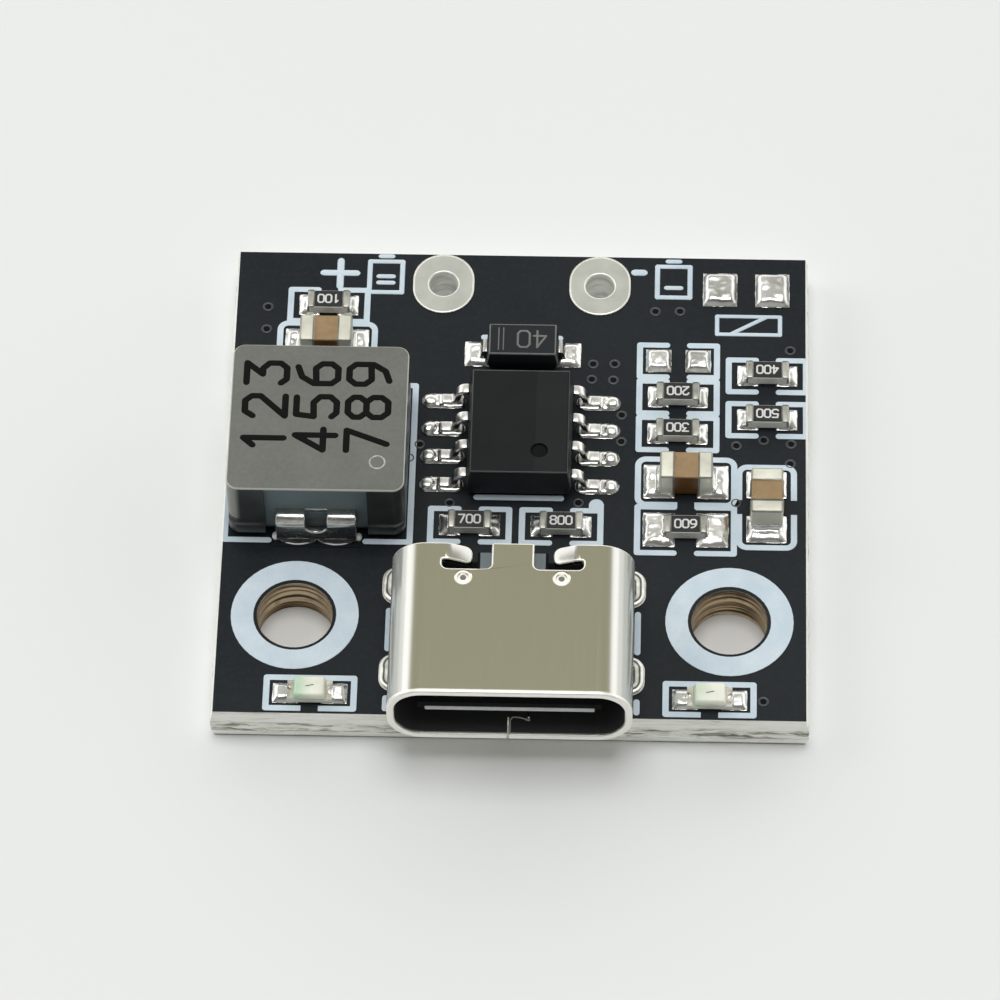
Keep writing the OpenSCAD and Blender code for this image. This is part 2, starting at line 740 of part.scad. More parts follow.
module socket_slot_lands() {
  color(tin) difference() {
    union() {
      slot_places() {
        linear_extrude(mask_t) slot_outline(slot_land);
        linear_extrude(top) slot_outline(plating_t);
        translate([0, 0, top - mask_t]) linear_extrude(mask_t + land_rise) slot_outline(slot_land);
      }
    }
    slot_places() translate([0, 0, -bite]) linear_extrude(top + 2 * bite) slot_outline(0);
  }
}

// The solid core of the shell: a bar with the outline of its inner or outer face
module shell_bar(shrink, y0, y1) {
  translate([socket_x, y1, shell_axis]) rotate([90, 0, 0]) linear_extrude(y1 - y0)
    rounded(shell_w - 2 * shrink, shell_h - 2 * shrink, shell_r - shrink);
}

module socket_legs() {
  for (s = [-1, 1], y = leg_rows)
    translate([socket_x + s * leg_x - shell_wall / 2, y - leg_w / 2, leg_end])
      cube([shell_wall, leg_w, shell_axis - leg_end]);
}

module socket_shell() {
  sheet_top = shell_axis + shell_h / 2;
  color("#9a9884") {
    difference() {
      union() {
        shell_bar(0, shell_front, shell_rear);
        socket_legs();
      }
      shell_bar(shell_wall, shell_front - bite, shell_rear + bite);
      // Windows in the rear edge of the top
      translate([socket_x, shell_rear, sheet_top - 2 * shell_wall]) both_sides()
        translate([(window_gap + window_w) / 2, 0, 0]) linear_extrude(3 * shell_wall)
          rounded(window_w, 2 * window_l, window_r);
      // Opening in the floor for the block's foot and the tails
      translate([socket_x - foot_w / 2, shell_rear - foot_l_y, top - bite])
        cube([foot_w, foot_l_y + bite, shell_wall + 2 * bite]);
      // Seam of the folded sheet, with its dovetails
      translate([socket_x, shell_front, top - bite]) linear_extrude(shell_wall + 2 * bite)
        stroke([for (p = seam_path) [p.x * seam_throw, p.y * seam_pitch]], seam_w);
      for (s = [-1, 1]) translate([socket_x + s * dimple_pitch / 2, shell_rear - dimple_rear,
          sheet_top + dimple_ball - dimple_depth]) sphere(r = dimple_ball);
    }
    translate([socket_x, shell_rear - finger_w, sheet_top - shell_wall / 2]) both_sides()
      translate([window_gap / 2 + window_w + 0.02, 0, 0]) finger();
  }
}

// A spring finger: it leaves the sheet level and bends down towards the tip
module finger() {
  bend_at = 0.25;
  run = finger_l - bend_at;
  tip_r = finger_w * 0.36;
  translate([0, finger_w / 2, 0]) intersection() {
    bent_strip([[0, 0], [-bend_at, 0],
      [-bend_at - run * cos(finger_angle), -run * sin(finger_angle)]], shell_wall, 0.1, finger_w);
    // Round corners at the tip
    translate([0, 0, -finger_l]) linear_extrude(2 * finger_l)
      rounded(2 * (bend_at + run * cos(finger_angle)), finger_w, tip_r);
  }
}

// Path of a contact, from the tongue's upper face through the block to its tail
module contact_strip(w) {
  high = shell_axis + tongue_t / 2 - contact_t / 2 + 0.03;
  low = shell_axis - tongue_t / 2 + contact_t / 2 - 0.03;
  tail = land_top + contact_t / 2;
  tip = shell_front + tongue_back + 0.35;
  riser = block_rear - 0.5;
  rotate(90) {
    bent_strip([[tip, high], [riser, high], [riser, tail], [block_rear + tail_l, tail]],
      contact_t, 0.15, w);
    translate([tip, -w / 2, low - contact_t / 2]) cube([riser - tip, w, contact_t]);
  }
}

module socket_contacts() {
  color("#c8a850") for (c = contact_rows) translate([socket_x + c.x, 0, 0]) contact_strip(c.y);
}

module socket_insulator() {
  tongue_front = shell_front + tongue_back;
  color("#1b1c1e") difference() {
    union() {
      shell_bar(shell_wall + block_room, block_front, block_rear);
      translate([socket_x - tongue_w / 2, tongue_front, shell_axis - tongue_t / 2])
        cube([tongue_w, block_front - tongue_front + bite, tongue_t]);
      translate([socket_x - foot_w / 2 + block_room, shell_rear - foot_l_y + block_room, top])
        cube([foot_w - 2 * block_room, block_rear - shell_rear + foot_l_y - block_room,
          shell_wall + 2 * block_room]);
    }
    // Bevels along the tongue's front edge
    for (s = [-1, 1]) translate([socket_x, tongue_front, shell_axis + s * tongue_t / 2])
      rotate([45, 0, 0]) cube([tongue_w + 1, 0.25, 0.25], center = true);
    // Pockets for the spring fingers
    translate([socket_x, shell_rear - window_l, shell_axis + shell_h / 2 - pocket_depth]) both_sides()
      translate([window_gap / 2 + window_w - finger_l - 0.1, 0, 0])
        cube([finger_l + 0.1, window_l, pocket_depth]);
    socket_contacts();
  }
}

module socket_solder() {
  color(solder) difference() {
    slot_places() {
      translate([0, 0, leg_end]) linear_extrude(land_top - leg_end) slot_outline(0);
      translate([0, 0, land_top]) linear_extrude(slot_solder_h) slot_outline(slot_land - 0.04);
    }
    socket_legs();
    shell_bar(-0.01, shell_front, shell_rear);
  }
}

// The terminal's strip, seen from the side: X is the way out of the body
module terminal_outline() {
  out = terminal_out + recess_depth;
  height = terminal_h - land_rise;
  corner = 0.4;
  translate([0, land_rise]) difference() {
    translate([out - terminal_loop / 2, height / 2]) difference() {
      rounded(terminal_loop, height, corner);
      rounded(terminal_loop - 2 * terminal_t, height - 2 * terminal_t, corner - terminal_t);
    }
    translate([out - terminal_loop - bite, -bite]) square([corner + bite, height + 2 * bite]);
    translate([-terminal_loop, terminal_t + 0.01]) square([terminal_loop - terminal_root, height]);
  }
}

module inductor_terminal(side) {
  translate([inductor_x, inductor_y + side * (inductor_l / 2 - recess_depth), top])
    difference() {
      rotate([90, 0, side * 90]) linear_extrude(terminal_w, center = true) terminal_outline();
      translate([0, side * (recess_depth + terminal_out) / 2 + side * 0.3, terminal_h]) {
        translate([-notch_w / 2, -0.6, notch_w / 2 - notch_depth])
          cube([notch_w, 1.2, notch_depth]);
        translate([0, 0.6, notch_w / 2 - notch_depth]) rotate([90, 0, 0])
          cylinder(h = 1.2, d = notch_w);
      }
    }
}

module inductor_terminal_front() {
  color(tin) inductor_terminal(-1);
}

module inductor_terminal_rear() {
  color(tin) inductor_terminal(1);
}

module inductor_body() {
  base = top + land_rise + terminal_t;
  color("#7d7f78") difference() {
    translate([inductor_x, inductor_y, base]) {
      linear_extrude(top + inductor_h - base) rounded(inductor_w, inductor_l, inductor_r);
      linear_extrude(inductor_foot_h)
        rounded(inductor_w, inductor_l + 2 * inductor_foot_out, inductor_r);
    }
    for (s = [-1, 1]) translate([inductor_x, inductor_y + s * inductor_l / 2, base])
      cube([recess_w, 2 * recess_depth, 2 * (top + inductor_h - base - recess_top)], center = true);
    for (s = [-1, 1]) inductor_terminal_block(s);
  }
}

// The room that a terminal takes out of the body
module inductor_terminal_block(side) {
  translate([inductor_x, inductor_y + side * (inductor_l / 2 - recess_depth), top])
    rotate([90, 0, side * 90]) linear_extrude(terminal_w, center = true) terminal_outline();
}

module inductor_solder() {
  reach = terminal_foot_y + terminal_foot_l / 2 - inductor_l / 2 - terminal_out + 0.15;
  lobe_w = terminal_w / 2 - 0.04;
  lobe_r = (lobe_w * lobe_w / 4 + lobe_bulge * lobe_bulge) / (2 * lobe_bulge);
  color(solder) for (s = [-1, 1]) difference() {
    for (k = [-1, 1]) translate([inductor_x + k * terminal_w / 4,
        inductor_y + s * (inductor_l / 2 + terminal_out - 0.15), land_top])
      rotate(s * 90) intersection() {
        fillet(reach, 0.3, lobe_w);
        translate([reach - lobe_r, 0, 0]) cylinder(h = 1, r = lobe_r);
      }
    inductor_terminal_block(s);
  }
}

module chip_body() {
  color("#2e3031") translate([chip_x, chip_y, top + chip_lift]) difference() {
    moulded(chip_w, chip_l, chip_h, chip_draft, lead_t);
    translate([chip_w / 2 - mark_side, mark_end - chip_l / 2, chip_h - mark_depth])
      cylinder(h = mark_depth + bite, d = mark_d);
  }
}

module chip_leads(side) {
  root = chip_w / 2;
  tip = lead_span / 2;
  high = top + chip_lift + chip_h / 2;
  low = land_top + lead_t / 2;
  color(tin) translate([chip_x, chip_y, 0]) mirror([side < 0 ? 1 : 0, 0, 0])
    for (i = [-1.5 : 1.5]) translate([0, i * lead_pitch, 0])
      bent_strip([[root, high], [root + (tip - foot_l - root) * 0.6, high], [tip - foot_l, low],
        [tip, low]], lead_t, lead_bend + lead_t / 2, lead_w);
}

module chip_leads_left() {
  chip_leads(-1);
}

module chip_leads_right() {
  chip_leads(1);
}

module chip_solder() {
  color(solder) for (s = [-1, 1], i = [-1.5 : 1.5])
    translate([chip_x, chip_y + i * lead_pitch, land_top]) intersection() {
      translate([s * lead_land_x, 0, 0]) linear_extrude(1)
        stadium(lead_land_l - 0.06, lead_land_w - 0.06);
      translate([s * lead_span / 2, 0, 0]) rotate(s > 0 ? 0 : 180)
        fillet(lead_land_out, tip_fillet_h, lead_land_w);
    }
}

module diode_body() {
  color("#303233") translate([chip_x, diode_y, top + diode_lift])
    moulded(diode_l, diode_w, diode_h, diode_draft, diode_lead_t);
}

module diode_leads() {
  root = diode_l / 2;
  tip = diode_span / 2;
  high = top + diode_lift + diode_h / 2;
  low = land_top + diode_lead_t / 2;
  color(tin) translate([chip_x, diode_y, 0]) both_sides()
    bent_strip([[root, high], [root + (tip - diode_foot - root) * 0.5, high],
      [tip - diode_foot, low], [tip, low]], diode_lead_t, 0.08, diode_lead_w);
}

module diode_solder() {
  color(solder) for (s = [0, 1]) translate([chip_x, diode_y, land_top]) mirror([s, 0, 0])
    translate([diode_span / 2, 0, 0])
      fillet((diode_land_span - diode_span) / 2, 0.12, diode_land_w - 0.1);
}

// A chip resistor: a ceramic slab, with a metal cap folded round each end
module resistor_body(i) {
  color(ceramic) translate([resistors[i].x, resistors[i].y, land_top + resistor_end_t])
    translate([-resistor_l / 2 + resistor_end_t, -resistor_w / 2, 0])
      cube([resistor_l - 2 * resistor_end_t, resistor_w, resistor_h - 2 * resistor_end_t]);
}

module resistor_ends(i) {
  color(tin) translate([resistors[i].x, resistors[i].y, land_top]) both_sides()
    rotate([90, 0, 0]) linear_extrude(resistor_w, center = true) difference() {
      translate([resistor_l / 2 - resistor_end, 0]) square([resistor_end, resistor_h]);
      translate([0, resistor_end_t])
        square([resistor_l / 2 - resistor_end_t, resistor_h - 2 * resistor_end_t]);
    }
}

// The dark glaze on the ceramic, between the caps
module resistor_glaze() {
  l = resistor_l - 2 * resistor_end - 0.02;
  color("#26282a") for (p = resistors)
    translate([p.x - l / 2, p.y - resistor_w / 2 + 0.03, land_top + resistor_h - resistor_end_t])
      cube([l, resistor_w - 0.06, resistor_end_t - 0.01]);
}

module resistor_solder() {
  color(solder) for (i = [0 : len(resistors) - 1]) translate([resistors[i].x, resistors[i].y, land_top])
    for (s = [0, 1]) mirror([s, 0, 0]) translate([resistor_l / 2, 0, 0])
      fillet(((i == 5 ? large_land_span : small_land_span) - resistor_l) / 2 - 0.02, fillet_h,
        resistor_w);
}

// A chip capacitor: a ceramic block with a metal cap over each end
module capacitor_block(l, w, h, r) {
  linear_extrude(h) rounded(l, w, r);
}

module capacitor_body(i) {
  c = capacitors[i];
  t = capacitor_end_t;
  color("#a58a63") translate([c.x, c.y, land_top + t]) rotate(c.z)
    capacitor_block(capacitor_l - 2 * t, capacitor_w - 2 * t, capacitor_h - 2 * t, capacitor_r - t);
}

module capacitor_ends(i) {
  c = capacitors[i];
  t = capacitor_end_t;
  inner = capacitor_l - 2 * capacitor_end;
  color("#cfcbb8") translate([c.x, c.y, land_top]) rotate(c.z) difference() {
    capacitor_block(capacitor_l, capacitor_w, capacitor_h, capacitor_r);
    translate([0, 0, capacitor_h / 2]) cube([inner, capacitor_w + bite, capacitor_h + bite], center = true);
    translate([0, 0, t])
      capacitor_block(capacitor_l - 2 * t, capacitor_w - 2 * t, capacitor_h - 2 * t, capacitor_r - t);
  }
}

module capacitor_solder() {
  color(solder) for (c = capacitors) translate([c.x, c.y, land_top]) rotate(c.z)
    for (s = [0, 1]) mirror([s, 0, 0]) translate([capacitor_l / 2, 0, 0])
      fillet((large_land_span - capacitor_l) / 2 - 0.02, tall_fillet_h,
        capacitor_w - 2 * capacitor_r);
}

// An indicator lamp: a base with a half-round notch in each end, metal ends and a lens
module lamp_notches(r) {
  for (s = [-1, 1]) translate([s * lamp_l / 2, 0]) circle(r = r);
}

module lamp_base(i) {
  color("#e8e6d8") translate([lamps[i].x, lamps[i].y, land_top + lamp_end_t])
    linear_extrude(lamp_base_h - 2 * lamp_end_t) difference() {
      square([lamp_l, lamp_w], center = true);
      lamp_notches(lamp_notch_r);
    }
}

module lamp_ends(i) {
  color("#d8cfa8") translate([lamps[i].x, lamps[i].y, land_top]) {
    for (z = [0, lamp_base_h - lamp_end_t]) translate([0, 0, z]) linear_extrude(lamp_end_t)
      difference() {
        square([lamp_l, lamp_w], center = true);
        square([lamp_lens_l + 0.02, lamp_w + bite], center = true);
        lamp_notches(lamp_notch_r - lamp_end_t);
      }
    linear_extrude(lamp_base_h) intersection() {
      square([lamp_l, lamp_w], center = true);
      difference() {
        lamp_notches(lamp_notch_r);
        lamp_notches(lamp_notch_r - lamp_end_t);
      }
    }
  }
}

module lamp_lens(i) {
  a = lamp_lens_l / 2;
  color("#e6eed2") translate([lamps[i].x, lamps[i].y, land_top + lamp_base_h - lamp_end_t])
    rotate([90, 0, 0]) linear_extrude(lamp_w, center = true)
      polygon([[-a, 0], [a, 0], [a - 0.08, lamp_lens_h], [0.08 - a, lamp_lens_h]]);
}

module lamp_solder() {
  color(solder) for (p = lamps, s = [0, 1]) translate([p.x, p.y, land_top]) mirror([s, 0, 0])
    translate([lamp_l / 2, 0, 0])
      fillet((lamp_land_span - lamp_l) / 2 - 0.02, lamp_base_h - 0.04, lamp_w - 0.1);
}

board_core();
solder_mask_top();
solder_mask_bottom();
silkscreen_print();
battery_pad_positive();
battery_pad_negative();
sensor_pads();
component_lands();
spare_lands();
socket_slot_lands();
socket_shell();
socket_insulator();
socket_contacts();
socket_solder();
inductor_body();
inductor_terminal_front();
inductor_terminal_rear();
inductor_solder();
chip_body();
chip_leads_left();
chip_leads_right();
chip_solder();
diode_body();
diode_leads();
diode_solder();
resistor_body(0);  // resistor_1_body
resistor_ends(0);  // resistor_1_ends
resistor_body(1);  // resistor_2_body
resistor_ends(1);  // resistor_2_ends
resistor_body(2);  // resistor_3_body
resistor_ends(2);  // resistor_3_ends
resistor_body(3);  // resistor_4_body
resistor_ends(3);  // resistor_4_ends
resistor_body(4);  // resistor_5_body
resistor_ends(4);  // resistor_5_ends
resistor_body(5);  // resistor_6_body
resistor_ends(5);  // resistor_6_ends
resistor_body(6);  // resistor_7_body
resistor_ends(6);  // resistor_7_ends
resistor_body(7);  // resistor_8_body
resistor_ends(7);  // resistor_8_ends
resistor_glaze();
resistor_solder();
capacitor_body(0);  // capacitor_1_body
capacitor_ends(0);  // capacitor_1_ends
capacitor_body(1);  // capacitor_2_body
capacitor_ends(1);  // capacitor_2_ends
capacitor_body(2);  // capacitor_3_body
capacitor_ends(2);  // capacitor_3_ends
capacitor_solder();
lamp_base(0);  // lamp_base_left
lamp_base(1);  // lamp_base_right
lamp_lens(0);  // lamp_lens_left
lamp_lens(1);  // lamp_lens_right
lamp_ends(0);  // lamp_ends_left
lamp_ends(1);  // lamp_ends_right
lamp_solder();
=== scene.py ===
# Charger module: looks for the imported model, in metres, in the model's own frame
import bpy
import json
import math
from mathutils import Matrix, Vector, noise


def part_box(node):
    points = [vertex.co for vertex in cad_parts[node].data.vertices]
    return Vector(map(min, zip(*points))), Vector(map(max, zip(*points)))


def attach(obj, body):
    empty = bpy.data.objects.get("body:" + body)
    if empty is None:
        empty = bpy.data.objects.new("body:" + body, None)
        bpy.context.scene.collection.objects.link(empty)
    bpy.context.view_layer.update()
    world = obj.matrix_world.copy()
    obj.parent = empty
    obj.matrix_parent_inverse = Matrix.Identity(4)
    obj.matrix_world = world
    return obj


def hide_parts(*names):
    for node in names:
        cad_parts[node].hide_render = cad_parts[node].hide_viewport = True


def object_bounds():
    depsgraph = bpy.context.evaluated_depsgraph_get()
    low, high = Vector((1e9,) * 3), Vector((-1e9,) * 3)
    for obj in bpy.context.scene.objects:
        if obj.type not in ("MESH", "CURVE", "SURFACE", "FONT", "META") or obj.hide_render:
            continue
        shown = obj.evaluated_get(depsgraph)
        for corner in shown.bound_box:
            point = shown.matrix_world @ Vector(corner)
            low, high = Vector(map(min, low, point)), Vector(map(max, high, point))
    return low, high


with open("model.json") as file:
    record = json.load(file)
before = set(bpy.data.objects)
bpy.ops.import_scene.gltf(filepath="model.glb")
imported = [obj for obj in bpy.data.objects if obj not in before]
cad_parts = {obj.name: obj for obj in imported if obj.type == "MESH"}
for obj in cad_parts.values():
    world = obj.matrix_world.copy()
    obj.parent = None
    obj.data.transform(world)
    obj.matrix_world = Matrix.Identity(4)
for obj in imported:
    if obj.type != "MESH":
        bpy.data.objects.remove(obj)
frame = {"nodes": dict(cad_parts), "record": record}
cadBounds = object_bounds()
nodes = frame["nodes"]
mm = 0.001
print("frame loaded with", len(nodes), "nodes")


def tone(red, green, blue):                     # a colour as seen on screen, 0 to 255, made linear
    parts = [c / 255 for c in (red, green, blue)]
    return tuple(c / 12.92 if c <= 0.04045 else ((c + 0.055) / 1.055) ** 2.4 for c in parts) + (1,)


def middleOf(node):
    low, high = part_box(node)
    return (low + high) / 2


def islands(name):                              # boxes of a node's separate solids
    mesh = nodes[name].data
    parent = list(range(len(mesh.vertices)))

    def root(i):
        while parent[i] != i:
            parent[i] = parent[parent[i]]
            i = parent[i]
        return i

    spots = {}
    for v in mesh.vertices:
        key = tuple(round(c / (0.0005 * mm)) for c in v.co)
        if key in spots:
            parent[root(v.index)] = root(spots[key])
        spots[key] = v.index
    for e in mesh.edges:
        parent[root(e.vertices[0])] = root(e.vertices[1])
    groups = {}
    for v in mesh.vertices:
        groups.setdefault(root(v.index), []).append(v.co)
    return [(Vector(map(min, zip(*g))), Vector(map(max, zip(*g)))) for g in groups.values()]


# Shader maths: a Field is a node's output that takes plain arithmetic
class Field:
    def __init__(self, finish, socket):
        self.finish, self.socket = finish, socket

    def maths(self, operation, *others):
        return self.finish.node("ShaderNodeMath", [self, *others], operation=operation)

    def __add__(self, other):
        return self.maths("ADD", other)

    def __sub__(self, other):
        return self.maths("SUBTRACT", other)

    def __mul__(self, other):
        return self.maths("MULTIPLY", other)

    def __rsub__(self, other):
        return self.finish.node("ShaderNodeMath", [other, self], operation="SUBTRACT")

    __radd__, __rmul__ = __add__, __mul__

    def above(self, limit):
        return self.maths("GREATER_THAN", limit)

    def below(self, limit):
        return self.maths("LESS_THAN", limit)

    def power(self, exponent):
        return self.maths("POWER", exponent)

    def rise(self, low, high):                  # 0 at low and 1 at high
        return self.finish.node("ShaderNodeMapRange", [self, low, high, 0, 1])

    def over(self, span):                       # the same, over a span in mm
        return self.rise(span[0] * mm, span[1] * mm)


class NodeTree:                                 # adds nodes and links them
    def __init__(self, tree):
        self.tree = tree

    def plug(self, socket, value):
        if isinstance(value, Field):
            self.tree.links.new(value.socket, socket)
        else:
            socket.default_value = value

    def node(self, kind, sockets=(), out=0, stops=None, **settings):
        made = self.tree.nodes.new(kind)
        for key, value in settings.items():
            setattr(made, key, value)
        if stops:
            ramp = made.color_ramp.elements
            while len(ramp) < len(stops):
                ramp.new(0.5)
            for element, (place, colour) in zip(ramp, stops):
                element.position = place
            for element, (place, colour) in zip(ramp, stops):
                element.color = colour
        for key, value in (sockets.items() if isinstance(sockets, dict) else enumerate(sockets)):
            self.plug(made.inputs[key], value)
        return Field(self, made.outputs[out])

    def place(self, stretch=(1, 1, 1)):
        where = self.node("ShaderNodeTexCoord", out=3)
        return self.node("ShaderNodeMapping", {"Vector": where, "Scale": stretch})

    def axis(self, letter):
        return self.node("ShaderNodeSeparateXYZ", [self.node("ShaderNodeTexCoord", out=3)],
                         out="XYZ".index(letter))

    def beside(self, letter, middle):           # how far a spot lies from a middle
        return (self.axis(letter) - middle).maths("ABSOLUTE")

    def noise(self, scale, detail=3, roughness=0.55, distortion=0, stretch=(1, 1, 1)):
        return self.node("ShaderNodeTexNoise", {"Vector": self.place(stretch), "Scale": scale,
                         "Detail": detail, "Roughness": roughness, "Distortion": distortion})

    def cells(self, scale, feature):
        return self.node("ShaderNodeTexVoronoi", {"Vector": self.place(), "Scale": scale}, feature=feature)

    def ramp(self, value, *stops):
        return self.node("ShaderNodeValToRGB", [value], stops=stops)

    def mix(self, factor, first, second):
        return self.node("ShaderNodeMix", {0: factor, 6: first, 7: second}, out=2, data_type="RGBA")

    def bump(self, height, strength, distance):
        return self.node("ShaderNodeBump", {"Strength": strength, "Distance": distance, "Height": height})


class Finish(NodeTree):                         # one material around a Principled shader
    def __init__(self, name, **fixed):
        self.material = bpy.data.materials.new(name)
        self.material.use_nodes = True
        super().__init__(self.material.node_tree)
        self.shader = self.tree.nodes["Principled BSDF"]
        self.feed(**fixed)

    def feed(self, **sockets):
        for key, value in sockets.items():
            self.plug(self.shader.inputs[key.replace("_", " ")], value)


# Materials
chipDimple = {"d": 0.65, "side": 1.2, "end": 1.13}   # the mark of the first lead, mm
mountHole = {"x": 8.04, "y": -6.165, "back": (1.2, 0.5)}   # its place, and where its rings show, mm
# Socket shell, mm: its sizes, and the spans over which its look changes, with painted highlights and painted
# shade
shell = {"w": 8.94, "h": 3.16, "r": 1.3, "wall": 0.28, "windowL": 1.12, "windowW": 1.82, "gap": 1.56,
         "seamHalf": 1.3, "bend": (0.3, 0.5), "flank": (0.66, 0.78), "lip": (0.18, 0.12)}


def metal(name, light, dark, roughness, grain=2600, lump=0.0, scratch=(1, 1, 1), metallic=1):
    finish = Finish(name, Metallic=metallic)
    broad = finish.noise(grain * 0.25, 4, 0.6)
    fine = finish.noise(grain, 3, 0.6, stretch=scratch)
    finish.feed(Base_Color=finish.ramp(broad * 0.6 + fine * 0.4, (0.3, dark), (0.62, light)),
                Roughness=roughness * (fine * 0.9 + 0.55),
                Normal=finish.bump(broad * 0.5 + fine * 0.5, 0.35, lump * mm))
    return finish.material


def maskFinish():
    finish = Finish("solderMask", IOR=1.45, Specular_IOR_Level=0.22)
    cloud = finish.noise(130, 3)
    grain = finish.noise(5200, 2)
    colour = finish.ramp(cloud, (0.35, tone(21, 27, 32)), (0.65, tone(27, 32, 36)))
    colour = finish.mix(grain.rise(0.45, 0.75) * 0.35, colour, tone(38, 44, 50))
    traces = finish.cells(520, "DISTANCE_TO_EDGE").rise(0.02, 0.09)
    finish.feed(Base_Color=colour, Roughness=0.34 + cloud * 0.12,
                Normal=finish.bump(grain * 0.3 + traces * 0.15 + cloud, 0.25, 0.02 * mm))
    return finish.material


def printFinish():
    finish = Finish("print", IOR=1.4)
    cloud, grain = finish.noise(700, 3), finish.noise(9000, 2)
    colour = finish.ramp(cloud, (0.3, tone(198, 214, 226)), (0.7, tone(216, 229, 238)))
    finish.feed(Base_Color=finish.mix(grain.rise(0.55, 0.85) * 0.4, colour, tone(182, 200, 214)),
                Roughness=0.55 + grain * 0.2, Normal=finish.bump(grain, 0.3, 0.01 * mm))
    return finish.material


# The torn web in the board's edge, mm; its creases and the recess behind it get painted shade
webLook = {"drop": 0.1, "web": (0.36, 0.26), "ragged": 0.2, "pit": (0.05, 0.11)}


def laminateFinish(v):
    finish = Finish("laminate")
    low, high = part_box("board_core")
    height = finish.beside("Z", (low.z + high.z) / 2 - v["drop"] * mm)
    streak = finish.noise(420, 6, 0.72, 0.5, stretch=(1, 1, 16))
    fibre = finish.noise(560, 6, 0.66, 0.8, stretch=(1, 1, 11))
    ragged = finish.noise(900, 3)
    colour = finish.ramp(streak, (0.34, tone(196, 196, 180)), (0.45, tone(244, 245, 236)),
                         (0.56, tone(255, 255, 251)))
    web = (height + (ragged - 0.5) * (v["ragged"] * mm)).over(v["web"])
    # the torn web: its dark streaks are painted shade in the creases, its pale streaks the fibres' own colour
    torn = finish.ramp(fibre, (0.36, tone(58, 56, 46)), (0.43, tone(150, 149, 132)),
                       (0.5, tone(240, 240, 230)), (0.6, tone(255, 255, 250)))
    across = (finish.axis("X").maths("ABSOLUTE") - high.x).maths(
        "MAXIMUM", finish.axis("Y").maths("ABSOLUTE") - high.y)
    # painted shade: the web darkens where it draws back inside the board's outline
    pit = (0 - across).over(v["pit"]) * web
    colour = finish.mix(pit * 0.6, finish.mix(web * 0.85, colour, torn), tone(84, 82, 70))
    finish.feed(Base_Color=colour, Roughness=0.6 + ragged * 0.25,
                Normal=finish.bump(streak * (1 - web) * 0.5 + fibre * web, 0.8, 0.06 * mm))
    return finish.material


lampTint = {"reach": 0.75, "left": 0.9, "right": 0.4}   # the green end of each lens: mm, and how strong


def lampLensFinish(v):
    finish = Finish("lampLens", Subsurface_Weight=0.2, Subsurface_Scale=0.3 * mm)
    cloud = finish.noise(1500, 3)
    colour = finish.ramp(cloud, (0.3, tone(232, 234, 216)), (0.7, tone(248, 249, 238)))
    for side in ("left", "right"):
        low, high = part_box("lamp_lens_" + side)
        tint = finish.axis("X").rise(low.x + v["reach"] * mm, low.x)
        tint = tint * finish.axis("X").above(low.x - 0.2 * mm) * finish.axis("X").below(high.x)
        colour = finish.mix(tint * v[side], colour, tone(168, 214, 178))
    finish.feed(Base_Color=colour, Roughness=0.2 + cloud * 0.2,
                Normal=finish.bump(cloud, 0.4, 0.04 * mm))
    return finish.material


def capacitorFinish():
    finish = Finish("capacitorCeramic")
    cloud, grain = finish.noise(500, 3), finish.noise(4200, 3)
    # painted shade: the front face of each capacitor's body is painted dark brown
    shadedFronts = 0
    for i in (1, 2):
        low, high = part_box("capacitor_%d_body" % i)
        shadedFronts = (finish.axis("Y").below(low.y + 0.05 * mm) * finish.axis("Y").above(low.y - 0.05 * mm)
                  * finish.axis("Z").below(high.z - 0.08 * mm)) + shadedFronts
    colour = finish.ramp(cloud * 0.5 + grain * 0.5, (0.3, tone(144, 117, 80)), (0.7, tone(166, 139, 102)))
    finish.feed(Base_Color=finish.mix(shadedFronts, colour, tone(104, 70, 34)), Roughness=0.28 + grain * 0.12,
                Normal=finish.bump(grain + cloud, 0.4, 0.01 * mm))
    return finish.material


leadRiserShade = {"foot": (0.26, 0.36), "bend": (0.26, 0.34)}   # the riser's painted shade, from below and from above, mm


def leadFinish(v):
    finish = Finish("lead", Metallic=1)
    cloud, grain = finish.noise(900, 3), finish.noise(2600, 3)
    low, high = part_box("chip_leads_left")
    # painted shade: the lead's upright part between foot and bend is darkened
    riserShade = (finish.axis("Z") - low.z).over(v["foot"]) * (high.z - finish.axis("Z")).over(v["bend"])
    colour = finish.ramp(cloud * 0.5 + grain * 0.5, (0.3, tone(222, 221, 216)), (0.62, tone(250, 249, 246)))
    finish.feed(Base_Color=finish.mix(riserShade * 0.85, colour, tone(70, 70, 68)), Roughness=0.2 + grain * 0.2,
                Normal=finish.bump(grain + cloud, 0.35, 0.02 * mm))
    return finish.material


def legSolderFinish():                          # painted highlight and shade: bright and dark rings that follow the outline of each slot
    finish = Finish("legSolder", Metallic=0.8)
    boxes = islands("socket_solder")
    middle = sum(low.x + high.x for low, high in boxes) / 2 / len(boxes)
    sideways = finish.beside("X", middle)
    cloud, grain = finish.noise(1100, 3), finish.noise(2600, 3)
    share = cloud * 0 + 9                       # each slot's outline then lowers it
    for low, high in boxes:
        if low.x > middle:
            half = (high - low) / 2
            along = finish.beside("Y", low.y + half.y) - (half.y - half.x)
            reach = (sideways - (low.x + half.x - middle)).power(2) + along.maths("MAXIMUM", 0).power(2)
            share = share.maths("MINIMUM", reach.maths("SQRT") * (1 / half.x))
    colour = finish.ramp(share + (cloud - 0.5) * 0.2, (0.36, tone(96, 96, 92)), (0.46, tone(222, 222, 214)),
                         (0.62, tone(206, 206, 198)), (0.68, tone(84, 84, 80)), (0.76, tone(96, 96, 92)),
                         (0.83, tone(250, 250, 246)))
    finish.feed(Base_Color=colour, Roughness=0.3 + grain * 0.2,
                Normal=finish.bump(cloud + grain * 0.4, 0.5, 0.05 * mm))
    return finish.material


